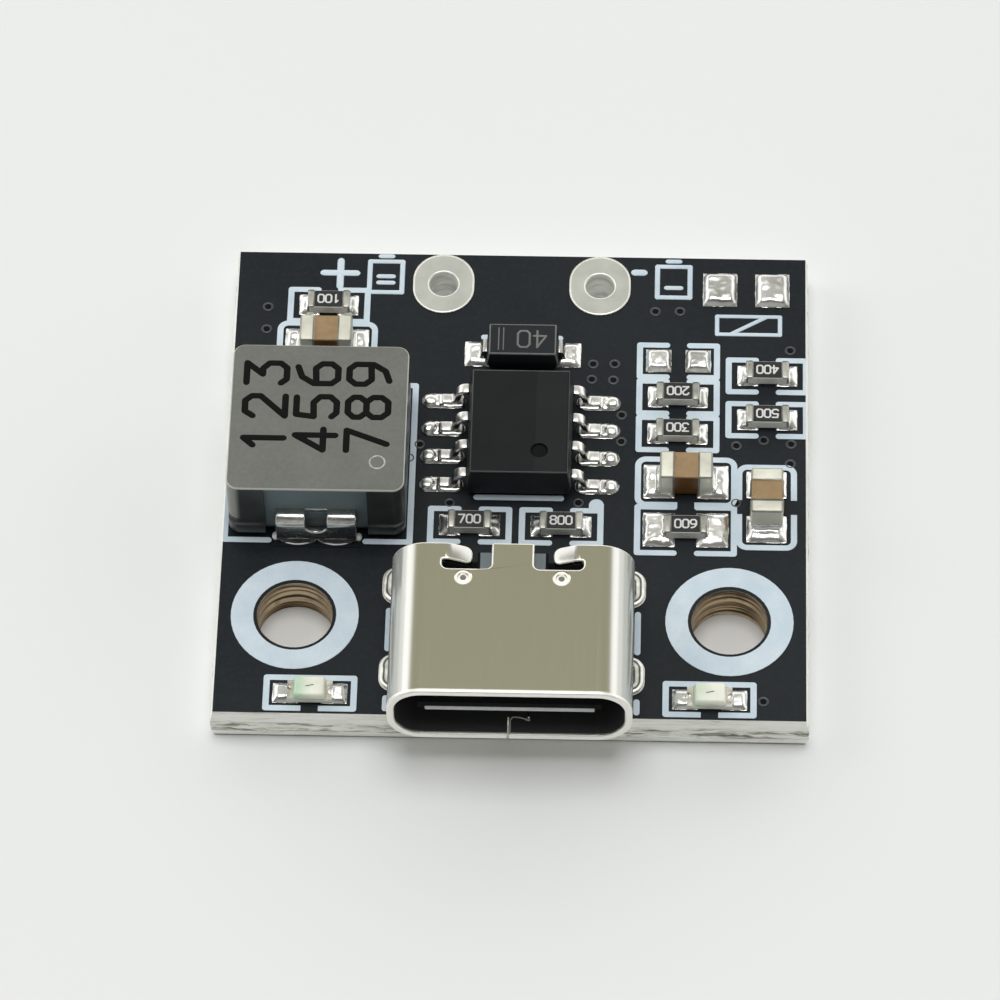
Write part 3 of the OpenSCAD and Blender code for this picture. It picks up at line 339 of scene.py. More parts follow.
def padFinish():
    finish = Finish("batteryPad", Metallic=0.3)
    cloud, streak = finish.noise(900, 3), finish.noise(500, 4, 0.6, stretch=(1, 1, 6))
    colour = finish.ramp(cloud, (0.3, tone(178, 179, 170)), (0.7, tone(196, 197, 188)))
    # painted light: below the pad's top, the bore's wall is painted near-white with bright streaks
    wall = finish.axis("Z").below(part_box("battery_pad_negative")[1].z - 0.1 * mm)
    bright = finish.ramp(streak, (0.4, tone(214, 216, 210)), (0.55, tone(253, 253, 250)))
    finish.feed(Base_Color=finish.mix(wall, colour, bright), Roughness=0.45 + cloud * 0.15 - wall * 0.2,
                Normal=finish.bump(cloud + streak * wall, 0.4, 0.03 * mm))
    return finish.material


litStrip = {"w": 0.42, "t": 0.2}                # the insulator's lit strips beside the shell's tab, mm


def insulatorFinish(v):
    finish = Finish("socketPlastic", Specular_IOR_Level=0.1)
    low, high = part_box("socket_insulator")
    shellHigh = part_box("socket_shell")[1]
    cloud, grain = finish.noise(700, 3), finish.noise(6000, 2)
    sideways = finish.beside("X", (low.x + high.x) / 2)
    strip = (sideways.above(shell["gap"] / 2 * mm) * sideways.below((shell["gap"] / 2 + v["w"]) * mm)
             * finish.axis("Y").above(shellHigh.y - shell["windowL"] * mm)
             * finish.axis("Z").above(high.z - v["t"] * mm))
    colour = finish.ramp(cloud, (0.3, tone(8, 9, 10)), (0.7, tone(14, 15, 17)))
    finish.feed(Base_Color=finish.mix(strip, colour, tone(114, 122, 126)), Roughness=0.65 + grain * 0.2,
                Normal=finish.bump(grain, 0.4, 0.01 * mm))
    return finish.material


def plastic(name, low, high, roughness, grain=6000, depth=0.01, **fixed):
    finish = Finish(name, **fixed)
    cloud, fine = finish.noise(grain * 0.12, 3), finish.noise(grain, 3, 0.6)
    finish.feed(Base_Color=finish.ramp(cloud * 0.5 + fine * 0.5, (0.3, low), (0.7, high)),
                Roughness=roughness * (fine * 0.5 + 0.75),
                Normal=finish.bump(fine + cloud * 0.5, 0.5, depth * mm))
    return finish.material


def shellFinish():
    finish = Finish("shellSteel", Metallic=1)
    brushed = finish.noise(1400, 4, 0.65, stretch=(7, 0.3, 7))
    cloud = finish.noise(160, 2)
    colour = finish.mix(brushed.rise(0.4, 0.7) * 0.3 + cloud * 0.2, tone(219, 217, 193), tone(208, 206, 182))
    low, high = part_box("socket_shell")
    middle, axis = (low.x + high.x) / 2, high.z - shell["h"] / 2 * mm
    sideways = finish.beside("X", middle)
    acrossX = sideways - (shell["w"] / 2 - shell["r"]) * mm
    acrossZ = finish.beside("Z", axis) - (shell["h"] / 2 - shell["r"]) * mm
    outside = (acrossX.maths("MAXIMUM", 0).power(2) + acrossZ.maths("MAXIMUM", 0).power(2)).maths("SQRT")
    depth = shell["r"] * mm - outside - acrossX.maths("MAXIMUM", acrossZ).maths("MINIMUM", 0)
    along = finish.axis("Y")
    bentHighlight = acrossX.over(shell["bend"])          # painted highlight: the round corners and the fingers are painted bright
    windowHighlight = (sideways.above(shell["gap"] / 2 * mm)
              * sideways.below((shell["gap"] / 2 + shell["windowW"] + 0.1) * mm)
              * along.above(high.y - (shell["windowL"] - 0.15) * mm)
              * finish.axis("Z").below(high.z - 0.01 * mm))
    colour = finish.mix(bentHighlight.maths("MAXIMUM", windowHighlight), colour, tone(220, 220, 216))
    flank = acrossX.over(shell["flank"])        # painted shade: the sides are painted greyer and duller
    colour = finish.mix(flank, colour, tone(196, 198, 193))
    # painted highlight: the front lip of the mouth is painted near-white
    lip = (along - low.y).over(shell["lip"])
    colour = finish.mix(lip, colour, tone(250, 249, 243))
    # painted shade: the inside of the mouth is painted dark and less metallic
    inside = (depth.above(shell["wall"] * 0.7 * mm) * along.above(low.y + shell["lip"][1] * mm)
              * along.below(high.y - shell["windowL"] * mm - 0.1 * mm))
    finish.feed(Base_Color=finish.mix(inside, colour, tone(60, 62, 62)),
                Roughness=0.11 + brushed * 0.08 + inside * 0.35 + lip * 0.25,
                Metallic=1 - inside * 0.9 - flank * 0.5 * (1 - inside),
                Normal=finish.bump(brushed, 0.1, 0.01 * mm))
    return finish.material


# Bands of the inductor's look, mm: a rim of painted highlight, a blue-grey recess lifted with painted light,
# a left side of painted highlight, each with its foot
coilLook = {"rim": 0.08, "recessHalf": 1.91, "recessFoot": 0.1, "flank": (0.5, 0.3), "flankFoot": 0.75}


def inductorFinish(v):
    finish = Finish("inductorBody", IOR=1.5, Specular_IOR_Level=0.3)
    low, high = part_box("inductor_body")
    height = finish.axis("Z") - high.z
    top = height.above(-v["rim"] * mm)
    # painted highlight: a pale rim just below the top's edge
    rim = top * height.below(-0.01 * mm)
    cloud, grain = finish.noise(620, 4), finish.noise(5200, 3, 0.6)
    light = finish.ramp(cloud * 0.5 + grain * 0.5, (0.3, tone(102, 104, 99)), (0.7, tone(118, 120, 114)))
    dark = finish.ramp(cloud, (0.3, tone(46, 49, 49)), (0.7, tone(64, 68, 68)))
    # the recess: its own blue-grey, painted paler as painted light against its shade
    recess = (finish.beside("X", (low.x + high.x) / 2).below(v["recessHalf"] * mm)
              * (1 - top) * finish.axis("Z").above(low.z + v["recessFoot"] * mm))
    # painted highlight: the left side is painted pale
    flank = ((finish.axis("X") - low.x).over(v["flank"]) * (1 - top)
             * finish.axis("Z").above(low.z + v["flankFoot"] * mm))
    dark = finish.mix(recess * 0.9, dark, tone(112, 126, 130))
    dark = finish.mix(flank * 0.8, dark, tone(146, 148, 141))
    colour = finish.mix(rim * 0.85, finish.mix(top, dark, light), tone(196, 198, 191))
    finish.feed(Base_Color=colour, Roughness=0.26 + top * 0.24 + grain * 0.12,
                Normal=finish.bump(grain + cloud * 0.4, 0.4, 0.02 * mm))
    return finish.material


chipBand = {"from": 2.55, "to": 0.2}            # the chip's paler band, from its left and right sides, mm


def epoxyFinish(v):
    finish = Finish("mouldedEpoxy", IOR=1.5, Specular_IOR_Level=0.16)
    cloud, grain = finish.noise(840, 3), finish.noise(7000, 3, 0.6)
    low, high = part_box("chip_body")
    spot = Vector((high.x - chipDimple["side"] * mm, low.y + chipDimple["end"] * mm, 0))
    away = ((finish.axis("X") - spot.x).power(2) + (finish.axis("Y") - spot.y).power(2)).maths("SQRT")
    mark = away.below(chipDimple["d"] / 2 * mm) * finish.axis("Z").above(high.z - 0.4 * mm)
    band = (finish.axis("X").above(low.x + v["from"] * mm) * finish.axis("X").below(high.x - v["to"] * mm)
            * finish.axis("Y").below(high.y))
    colour = finish.ramp(cloud * 0.5 + grain * 0.5, (0.3, tone(15, 18, 18)), (0.7, tone(25, 28, 28)))
    colour = finish.mix(band * 0.3, colour, tone(42, 45, 46))
    sides = finish.axis("Z").below(high.z - 0.08 * mm)
    colour = finish.mix(sides * 0.7, colour, tone(40, 44, 48))
    finish.feed(Base_Color=finish.mix(mark, colour, tone(5, 6, 7)),
                Roughness=0.48 + grain * 0.2, Normal=finish.bump(grain + cloud * 0.5, 0.5, 0.02 * mm))
    return finish.material


def holeWallFinish():
    finish = Finish("holeWall", Metallic=0.6)
    rings = finish.noise(900, 3, 0.6, stretch=(0.15, 0.15, 7))
    cloud = finish.noise(1500, 3)
    sideways = (finish.axis("X").maths("ABSOLUTE") - mountHole["x"] * mm).maths("ABSOLUTE")
    back = sideways.over(mountHole["back"])
    rings = 0.52 + (rings - 0.5) * (0.2 + back * 1.1)
    colour = finish.ramp(rings, (0.4, tone(62, 46, 28)), (0.48, tone(136, 108, 70)),
                         (0.58, tone(226, 208, 174)))
    finish.feed(Base_Color=finish.mix(cloud.rise(0.5, 0.7) * 0.5, colour, tone(70, 56, 38)),
                Roughness=0.3 + cloud * 0.2, Normal=finish.bump(rings + cloud * 0.3, 0.6, 0.05 * mm))
    return finish.material


finishes = {
    "mask": maskFinish(),
    "print": printFinish(),
    "laminate": laminateFinish(webLook),
    "pad": padFinish(),
    # painted highlight: a paler copy of the pads' finish for their rounded edges
    "padEdge": metal("padEdge", tone(250, 250, 244), tone(236, 235, 228), 0.35, 1800, 0.02, metallic=0.5),
    "tin": metal("tinnedLand", tone(236, 234, 226), tone(190, 188, 180), 0.3, 1500, 0.05),
    "solder": metal("solder", tone(248, 248, 246), tone(206, 206, 203), 0.26, 900, 0.05),
    "legSolder": legSolderFinish(),
    "shell": shellFinish(),
    # painted highlight: a paler copy of the shell's steel for its rounded edges and the dimples' rims
    "shellEdge": metal("shellEdge", tone(252, 251, 245), tone(236, 234, 224), 0.5, 2400, 0.01),
    "insulator": insulatorFinish(litStrip),
    # painted highlight: the pale line of the seam's edge in the shell's mouth
    "seam": plastic("seam", tone(176, 178, 176), tone(222, 224, 220), 0.4),
    # painted shade: the grey centre of each dimple on the shell
    "dimplePitShade": plastic("dimplePitShade", tone(96, 96, 88), tone(128, 128, 120), 0.5),
    "contact": metal("contact", tone(232, 208, 150), tone(196, 168, 104), 0.3),
    "inductor": inductorFinish(coilLook),
    "holeWall": holeWallFinish(),
    "terminal": metal("terminal", tone(226, 226, 222), tone(170, 170, 166), 0.24, 2400, 0.02, (1, 1, 6)),
    "epoxy": epoxyFinish(chipBand),
    "lead": leadFinish(leadRiserShade),
    "ceramic": plastic("resistorCeramic", tone(196, 197, 190), tone(222, 222, 216), 0.6),
    "glaze": plastic("resistorGlaze", tone(24, 26, 27), tone(40, 42, 43), 0.3),
    "capacitor": capacitorFinish(),
    "cap": metal("endCap", tone(232, 231, 216), tone(206, 205, 192), 0.4, 1500, 0.03, metallic=0.35),
    # painted shade: a darker copy of the end caps' metal for their rounded borders
    "capEdge": metal("capEdge", tone(172, 171, 158), tone(134, 133, 122), 0.35, 2400, 0.03, metallic=0.6),
    "resistorCap": metal("resistorCap", tone(204, 203, 194), tone(140, 140, 133), 0.32, 1500, 0.06,
                         metallic=0.7),
    # painted highlight: paler copies of the epoxy for the rounded edges of the chip and the diode
    "chipEdge": plastic("chipEdge", tone(50, 54, 54), tone(72, 76, 75), 0.5),
    "epoxyEdge": plastic("epoxyEdge", tone(92, 96, 96), tone(120, 124, 122), 0.5),
    "lampBase": plastic("lampBase", tone(212, 214, 196), tone(232, 232, 220), 0.5),
    "lampLens": lampLensFinish(lampTint),
    "lampEnd": metal("lampEnd", tone(222, 219, 206), tone(170, 166, 150), 0.3, lump=0.04),
    "ink": plastic("ink", tone(7, 7, 6), tone(16, 16, 14), 0.7, Specular_IOR_Level=0.1),
    "ringMark": plastic("ringMark", tone(112, 114, 108), tone(226, 228, 222), 0.2, 9000, 0.03),
    # painted highlight: near-white solder for the lobes' border and the corner drops
    "solderHighlight": metal("solderHighlight", tone(252, 252, 250), tone(206, 206, 202), 0.4, 900, 0.04, metallic=0.2),
    # painted shade: dark solder for the lobes in front of the inductor
    "shadedSolder": metal("shadedSolder", tone(112, 114, 116), tone(60, 62, 64), 0.22, 900, 0.08),
    "printedDigit": plastic("printedDigit", tone(206, 208, 206), tone(232, 233, 230), 0.5),
    "laserMark": plastic("laserMark", tone(92, 95, 93), tone(118, 121, 118), 0.6),
    "viaRing": plastic("viaRing", tone(46, 50, 55), tone(66, 71, 76), 0.3),
    "tongueEdge": plastic("tongueEdge", tone(176, 178, 180), tone(206, 208, 210), 0.4),
    "hollow": plastic("hollow", tone(6, 7, 8), tone(12, 13, 14), 0.6, Specular_IOR_Level=0.1),
}
slotFinish = {"laminate": "laminate", "solder_mask": "mask", "print": "print", "tinned_copper": "tin",
              "solder": "solder", "shell_steel": "shell", "socket_plastic": "insulator",
              "contact_metal": "contact", "inductor_body": "inductor", "terminals": "terminal",
              "moulded_epoxy": "epoxy", "leads": "lead", "resistor_ceramic": "ceramic",
              "resistor_glaze": "glaze", "capacitor_ceramic": "capacitor", "end_caps": "cap",
              "lamp_base": "lampBase", "lamp_lens": "lampLens", "lamp_ends": "lampEnd"}
nodeSlot = {entry["node"]: entry["material_slot"] for entry in frame["record"]["subparts"]}


def paint(piece, finish):
    piece.data.materials.clear()
    piece.data.materials.append(finishes[finish])


for name, piece in nodes.items():
    paint(piece, "pad" if name.startswith("battery_pad") else slotFinish[nodeSlot[name]])
print("materials made:", len(finishes))


# Helpers for pieces
def alone(*objects):
    bpy.ops.object.select_all(action="DESELECT")
    for piece in objects:
        piece.select_set(True)
    bpy.context.view_layer.objects.active = objects[0]


def apply(piece, kind, **settings):
    modifier = piece.modifiers.new(kind.lower(), kind)
    for key, value in settings.items():
        setattr(modifier, key, value)
    alone(piece)
    bpy.ops.object.modifier_apply(modifier=modifier.name)


def edit(piece, action):                        # runs action() in edit mode with everything selected
    alone(piece)
    bpy.ops.object.mode_set(mode="EDIT")
    bpy.ops.mesh.select_all(action="SELECT")
    action()
    bpy.ops.object.mode_set(mode="OBJECT")


def pick(piece, test):                          # selects the points that pass the test, and nothing else
    for part in (piece.data.edges, piece.data.polygons):
        part.foreach_set("select", [False] * len(part))
    piece.data.vertices.foreach_set("select", [test(v.co) for v in piece.data.vertices])
    alone(piece)
    bpy.ops.object.mode_set(mode="EDIT")
    bpy.ops.mesh.select_mode(type="VERT")


def trim(piece, test):                          # deletes the points that pass the test
    pick(piece, test)
    bpy.ops.mesh.delete(type="VERT")
    bpy.ops.object.mode_set(mode="OBJECT")


def join(pieces, name):
    alone(*pieces)
    if len(pieces) > 1:
        bpy.ops.object.join()
    joined = bpy.context.object
    joined.name = name
    bpy.ops.object.transform_apply(location=True, rotation=True, scale=True)
    return joined


def settle(piece, finish, slot, *replaced):
    if finish:
        paint(piece, finish)
    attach(piece, "root")
    if replaced:
        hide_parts(*replaced)
    return piece


def together(pieces, name, finish, slot):       # one smooth piece made of several
    piece = join(pieces, name)
    bpy.ops.object.shade_smooth()
    return settle(piece, finish, slot)


def ring(spot, radius, tube, flat, around, sides):   # a flattened ring
    bpy.ops.mesh.primitive_torus_add(major_radius=radius * mm, minor_radius=tube * mm,
                                     major_segments=around, minor_segments=sides, location=spot)
    bpy.context.object.scale.z = flat
    return bpy.context.object


def bead(spot, radius, flat, around, levels):   # a flattened ball
    bpy.ops.mesh.primitive_uv_sphere_add(segments=around, ring_count=levels, radius=radius * mm,
                                         location=spot)
    bpy.context.object.scale.z = flat
    return bpy.context.object


def openTube(spot, radius, bottom, top, around, levels):   # an upright wall with level cuts
    bpy.ops.mesh.primitive_cylinder_add(vertices=around, radius=radius * mm, depth=top - bottom,
                                        end_fill_type="NOTHING", location=(*spot, (top + bottom) / 2))
    tube = bpy.context.object
    for k in range(1, levels):
        level = bottom + (top - bottom) * k / levels
        edit(tube, lambda: bpy.ops.mesh.bisect(plane_co=(0, 0, level), plane_no=(0, 0, 1)))
    return tube


def nodeCopy(name, newName):
    piece = bpy.data.objects.new(newName, nodes[name].data.copy())
    bpy.context.scene.collection.objects.link(piece)

    def clean():
        bpy.ops.mesh.remove_doubles(threshold=0.0003 * mm)
        bpy.ops.mesh.dissolve_limited(angle_limit=math.radians(0.6))
    edit(piece, clean)
    return piece


def weighEdges(piece, limit, test):             # marks the sharp edges that pass the test for the bevel
    def sharp():
        bpy.ops.mesh.select_mode(type="EDGE")
        bpy.ops.mesh.select_all(action="DESELECT")
        bpy.ops.mesh.edges_select_sharp(sharpness=math.radians(limit))
    edit(piece, sharp)
    mesh = piece.data
    weights = mesh.attributes.new("bevel_weight_edge", "FLOAT", "EDGE")
    for e in mesh.edges:
        if e.select and test([mesh.vertices[i].co for i in e.vertices]):
            weights.data[e.index].value = 1


def soften(name, newName, width, segments=3, limit=40, finish=None, edge=None, clamp=True,
           test=lambda p: True):
    piece = nodeCopy(name, newName)
    paint(piece, finish or slotFinish[nodeSlot[name]])
    if edge:
        piece.data.materials.append(finishes[edge])
    weighEdges(piece, limit, test)
    apply(piece, "BEVEL", width=width * mm, segments=segments, limit_method="WEIGHT", miter_outer="MITER_ARC",
          material=1 if edge else -1, use_clamp_overlap=clamp)
    if name == "inductor_body":                 # its lower edges get what room they have
        apply(piece, "BEVEL", width=width * mm, segments=2, limit_method="ANGLE",
              angle_limit=math.radians(limit))
    for point in piece.data.vertices:           # a wide bevel stays above the board's underside
        point.co.z = max(point.co.z, cadBounds[0][2])
    edit(piece, lambda: bpy.ops.mesh.dissolve_limited(angle_limit=math.radians(0.3), delimit={"MATERIAL"}))
    if name == "socket_shell":                  # its flat faces keep their own shading
        points, top = piece.data.vertices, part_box(name)[1].z - 0.001 * mm
        borders = {key for p in piece.data.polygons for key in p.edge_keys
                   if p.area > 5 * mm * mm or min(points[i].co.z for i in p.vertices) > top}
        for e in piece.data.edges:
            e.use_edge_sharp = e.use_edge_sharp or e.key in borders
    alone(piece)
    bpy.ops.object.shade_smooth_by_angle(angle=math.radians(42))
    apply(piece, "WEIGHTED_NORMAL", keep_sharp=True, weight=100)
    return settle(piece, None, nodeSlot[name], name)


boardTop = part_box("solder_mask_top")[1].z       # tops of the mask and of the lands on it
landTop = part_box("component_lands")[1].z


# Camera, at the photograph's place
cameraPlace = {"target": (-0.579, -0.906, 1.6), "yaw": -2.42, "elevation": 56.19, "roll": -1.10,
               "distance": 226.46, "lens": 217.6}


def addCamera(v):
    yaw, lift, roll = (math.radians(v[k]) for k in ("yaw", "elevation", "roll"))
    look = Vector((math.sin(yaw) * math.cos(lift), math.cos(yaw) * math.cos(lift), -math.sin(lift)))
    right = Vector((math.cos(yaw), -math.sin(yaw), 0))
    up = right.cross(look)
    tilted = right * math.cos(roll) + up * math.sin(roll)
    upright = up * math.cos(roll) - right * math.sin(roll)
    bpy.ops.object.camera_add()
    camera = bpy.context.object
    camera.matrix_world = Matrix((tilted, upright, -look)).transposed().to_4x4()
    camera.location = (Vector(v["target"]) - look * v["distance"]) * mm
    camera.data.lens, camera.data.sensor_width = v["lens"], 36
    camera.data.clip_start, camera.data.clip_end = 0.01, 10
    bpy.context.scene.camera = camera


addCamera(cameraPlace)

# Light: a soft panel overhead, a weaker one on the left, and a surround with a bright horizon behind
lightPlan = {
    "topPanel": {"azimuth": 0, "lift": 86, "distance": 0.6, "width": 0.36, "height": 0.36, "watts": 1.66},
    "leftPanel": {"azimuth": -75, "lift": 34, "distance": 0.6, "width": 0.3, "height": 0.25, "watts": 0.35},
}
for name, v in lightPlan.items():
    turn, lift = math.radians(v["azimuth"]), math.radians(v["lift"])
    away = Vector((math.sin(turn) * math.cos(lift), math.cos(turn) * math.cos(lift), math.sin(lift)))
    bpy.ops.object.light_add(type="AREA", location=away * v["distance"])
    lamp = bpy.context.object
    lamp.name = name
    lamp.rotation_euler = away.to_track_quat("Z", "Y").to_euler()
    lamp.data.shape = "RECTANGLE"
    lamp.data.size, lamp.data.size_y, lamp.data.energy = v["width"], v["height"], v["watts"]

# Colour of the surround by height: (sine of the elevation, red, green, blue)
surroundStops = ((0.0, 0.95, 0.96, 0.95), (0.1, 1.45, 1.45, 1.42), (0.56, 1.3, 1.3, 1.27),
                 (0.67, 0.42, 0.41, 0.36), (0.9, 0.38, 0.37, 0.33), (1.0, 0.5, 0.5, 0.48))
frontShare = 0.3                               # how bright the surround is in front, against behind


def addSurround():
    world = bpy.data.worlds.new("surround")
    bpy.context.scene.world = world
    world.use_nodes = True
    sky = NodeTree(world.node_tree)
    direction = sky.node("ShaderNodeTexCoord")
    height = sky.node("ShaderNodeSeparateXYZ", [direction], out=2)
    depth = sky.node("ShaderNodeSeparateXYZ", [direction], out=1)
    shade = sky.node("ShaderNodeValToRGB", [height], stops=[
        (place, (*colour, 1)) for place, *colour in surroundStops])
    background = world.node_tree.nodes["Background"]
    sky.plug(background.inputs["Color"], shade)
    sky.plug(background.inputs["Strength"], frontShare + depth.rise(-0.4, 0.3) * (1 - frontShare))


addSurround()
bpy.context.scene.view_settings.view_transform = "Standard"


floorLook = {"size": 1.6, "drop": 0.005, "dark": (0.84, 0.855, 0.86, 1), "light": (0.86, 0.875, 0.88, 1)}


def addFloor(v):
    bpy.ops.mesh.primitive_plane_add(size=v["size"], location=(0, 0, -v["drop"] * mm))
    floor = bpy.context.object
    floor.name = "floor"
    finish = Finish("floor", Roughness=0.9)
    cloud = finish.noise(14, 2)
    finish.feed(Base_Color=finish.ramp(cloud, (0.3, v["dark"]), (0.7, v["light"])))
    floor.data.materials.append(finish.material)


addFloor(floorLook)
print("camera, lights and floor set")

# Metal, ceramic and moulded pieces with softened edges
def offSeam(points):                            # true for an edge of the shell that isn't on its floor's seam
    low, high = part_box("socket_shell")
    return not (all(p.z < boardTop + (shell["wall"] + 0.1) * mm for p in points)
                and all(abs(p.x - (low.x + high.x) / 2) < shell["seamHalf"] * mm for p in points)
                and any(p.y > low.y + 0.02 * mm for p in points))


def onTop(points):                              # true for an edge of the inductor's top
    return all(p.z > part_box("inductor_body")[1].z - 0.01 * mm for p in points)


def offDimple(points):                          # true for an edge of the chip's body outside its dimple
    low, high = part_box("chip_body")
    spot = Vector((high.x - chipDimple["side"] * mm, low.y + chipDimple["end"] * mm))
    return any((p.to_2d() - spot).length > (chipDimple["d"] / 2 + 0.03) * mm for p in points)


softened = {
    # node: new name, width of the round edge in mm, segments, least angle, finish, finish of the edge,
    # whether the width is held back where edges are short, and which edges
    "socket_shell": ("shell", 0.065, 4, 40, "shell", "shellEdge", False, offSeam),
    "inductor_body": ("inductorBody", 0.08, 4, 40, "inductor", None, False, onTop),
    "inductor_terminal_front": ("terminalFront", 0.06, 3, 40),
    "inductor_terminal_rear": ("terminalRear", 0.06, 3, 40),
    "chip_body": ("chipBody", 0.045, 3, 40, "epoxy", "chipEdge", True, offDimple),
    "diode_body": ("diodeBody", 0.05, 3, 40, "epoxy", "epoxyEdge"),
    "chip_leads_left": ("chipLeadsLeft", 0.045, 3, 40),
    "chip_leads_right": ("chipLeadsRight", 0.045, 3, 40),
    "diode_leads": ("diodeLeads", 0.04, 3, 40),
    "battery_pad_positive": ("batteryPadPositive", 0.07, 3, 40, "pad", "padEdge", False),
    "battery_pad_negative": ("batteryPadNegative", 0.07, 3, 40, "pad", "padEdge", False),
    "lamp_lens_left": ("lampLensLeft", 0.08, 3, 40),
    "lamp_lens_right": ("lampLensRight", 0.08, 3, 40),
    "socket_insulator": ("socketInsulator", 0.05, 2, 40),
}
for i in range(1, 9):
    softened["resistor_%d_ends" % i] = ("resistorEnds%d" % i, 0.06, 4, 40, "resistorCap", None, False)
for i in range(1, 4):
    softened["capacitor_%d_ends" % i] = ("capacitorEnds%d" % i, 0.07, 4, 40, "cap", "capEdge", False)
    softened["capacitor_%d_body" % i] = ("capacitorBody%d" % i, 0.04, 2, 40)
for name, values in softened.items():
    soften(name, *values)
print("edges softened:", len(softened))


# Strokes: printed lines and digits, drawn as thick flat lines with round ends
def strokes(name, paths, width, thick, place, finish, slot, turn=0):
    curve = bpy.data.curves.new(name, "CURVE")
    curve.dimensions = "3D"
    curve.bevel_depth, curve.bevel_resolution, curve.use_fill_caps = width / 2 * mm, 2, True
    for start, end in [pair for path in paths for pair in zip(path, path[1:])]:
        start, end = Vector(start), Vector(end)
        out = (end - start).normalized() * width / 2
        spline = curve.splines.new("POLY")
        rounding = [(end + out * 0.45, 0.87), (end + out * 0.8, 0.55), (end + out * 0.97, 0.2)]
        opening = [(start - out * 0.97, 0.2), (start - out * 0.8, 0.55), (start - out * 0.45, 0.87)]
        points = opening + [(start, 1), (end, 1)] + rounding
        spline.points.add(len(points) - 1)
        for target, (spot, radius) in zip(spline.points, points):
            target.co = (spot.x * mm, spot.y * mm, 0, 1)
            target.radius = radius
    piece = bpy.data.objects.new(name, curve)
    bpy.context.scene.collection.objects.link(piece)
    alone(piece)
    bpy.ops.object.convert(target="MESH")
    piece = bpy.context.object
    piece.scale = (1, 1, thick / width)
    piece.rotation_euler.z = math.radians(turn)
    piece.location = place
    bpy.ops.object.transform_apply(location=True, rotation=True, scale=True)
    return settle(piece, finish, slot)


digitLines = {                                  # each digit in a field 0.6 wide and 1 high
    "0": [[(0.14, 0), (0.46, 0), (0.6, 0.16), (0.6, 0.84), (0.46, 1), (0.14, 1), (0, 0.84), (0, 0.16),
           (0.14, 0)]],
    "1": [[(0.12, 0.76), (0.34, 1), (0.34, 0)]],
    "2": [[(0, 0.8), (0.14, 1), (0.46, 1), (0.6, 0.84), (0.6, 0.62), (0, 0), (0.6, 0)]],
    "3": [[(0, 1), (0.6, 1), (0.26, 0.6), (0.44, 0.6), (0.6, 0.44), (0.6, 0.16), (0.46, 0), (0.12, 0),
           (0, 0.14)]],
    "4": [[(0.44, 0), (0.44, 1), (0, 0.3), (0.62, 0.3)]],
    "5": [[(0.58, 1), (0.06, 1), (0, 0.56), (0.42, 0.58), (0.6, 0.42), (0.6, 0.16), (0.44, 0), (0.12, 0),
           (0, 0.12)]],
    "6": [[(0.5, 1), (0.2, 0.9), (0, 0.6), (0, 0.16), (0.14, 0), (0.46, 0), (0.6, 0.16), (0.6, 0.4),
           (0.46, 0.56), (0.04, 0.54)]],
    "7": [[(0, 1), (0.6, 1), (0.2, 0)]],
    "8": [[(0.14, 0.54), (0, 0.7), (0, 0.86), (0.14, 1), (0.46, 1), (0.6, 0.86), (0.6, 0.7),
           (0.46, 0.54), (0.6, 0.38), (0.6, 0.16), (0.46, 0), (0.14, 0), (0, 0.16), (0, 0.38),
           (0.14, 0.54)], [(0.14, 0.54), (0.46, 0.54)]],
    "9": [[(0.1, 0), (0.4, 0.1), (0.6, 0.4), (0.6, 0.84), (0.46, 1), (0.14, 1), (0, 0.84), (0, 0.6),
           (0.14, 0.44), (0.56, 0.46)]],
}


def digits(name, number, height, pitch, width, place, finish, slot, turn=0):   # centred on its place
    shift = -(len(number) - 1) * pitch / 2
    paths = [[((x - 0.3) * height + shift + i * pitch, (y - 0.5) * height) for x, y in line]
             for i, digit in enumerate(number) for line in digitLines[digit]]
    return strokes(name, paths, width, 0.012, place, finish, slot, turn)


# Digits on the inductor, in three columns that read upwards, and the ring that marks its start
inductorMarks = {"height": 1.5, "pitch": 1.5, "width": 0.25, "columns": (-2.0, -0.08, 1.84), "middleY": 0.46,
                 "ring": (2.27, -2.0), "ringRadius": 0.28, "ringWidth": 0.075}


def addInductorMarks(v):
    low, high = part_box("inductor_body")
    middle = (low + high) / 2
    for number, column in zip(("123", "456", "789"), v["columns"]):
        place = Vector((middle.x + column * mm, middle.y + v["middleY"] * mm, high.z))
        digits("inductorDigits" + number, number, v["height"], v["pitch"], v["width"], place, "ink",
               "inductor_body", 90)
    spot = (middle.x + v["ring"][0] * mm, middle.y + v["ring"][1] * mm, high.z - 0.012 * mm)
    startRing = join([ring(spot, v["ringRadius"], v["ringWidth"] / 2, 0.55, 40, 10)], "inductorStartRing")
    settle(startRing, "ringMark", "inductor_body")


addInductorMarks(inductorMarks)

# Value digits on the resistors, and the diode's mark
chipMarks = {"height": 0.36, "pitch": 0.29, "width": 0.07, "diodeHeight": 0.75, "diodePitch": 0.62,
             "diodeWidth": 0.09, "diodeShift": 0.35, "bands": (-0.91, -0.73), "bandWidth": 0.05}


def addValueMarks(v):
    for i in range(1, 9):
        middle = middleOf("resistor_%d_body" % i)
        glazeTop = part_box("resistor_glaze")[1].z
        turn = 0 if i in (7, 8) else 180
        digits("resistorDigits%d" % i, "%d00" % i, v["height"], v["pitch"], v["width"],
               Vector((middle.x, middle.y, glazeTop)), "printedDigit", "resistor_glaze", turn)
    middle, top = middleOf("diode_body"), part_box("diode_body")[1].z
    digits("diodeDigits", "40", v["diodeHeight"], v["diodePitch"], v["diodeWidth"],
           Vector((middle.x + v["diodeShift"] * mm, middle.y, top)), "laserMark", "moulded_epoxy", 180)
    for side in v["bands"]:
        strokes("diodeBand%d" % round(-side * 100), [[(0, -0.5), (0, 0.5)]], v["bandWidth"], 0.01,
                Vector((side * mm + middle.x, middle.y, top)), "laserMark", "moulded_epoxy")


addValueMarks(chipMarks)

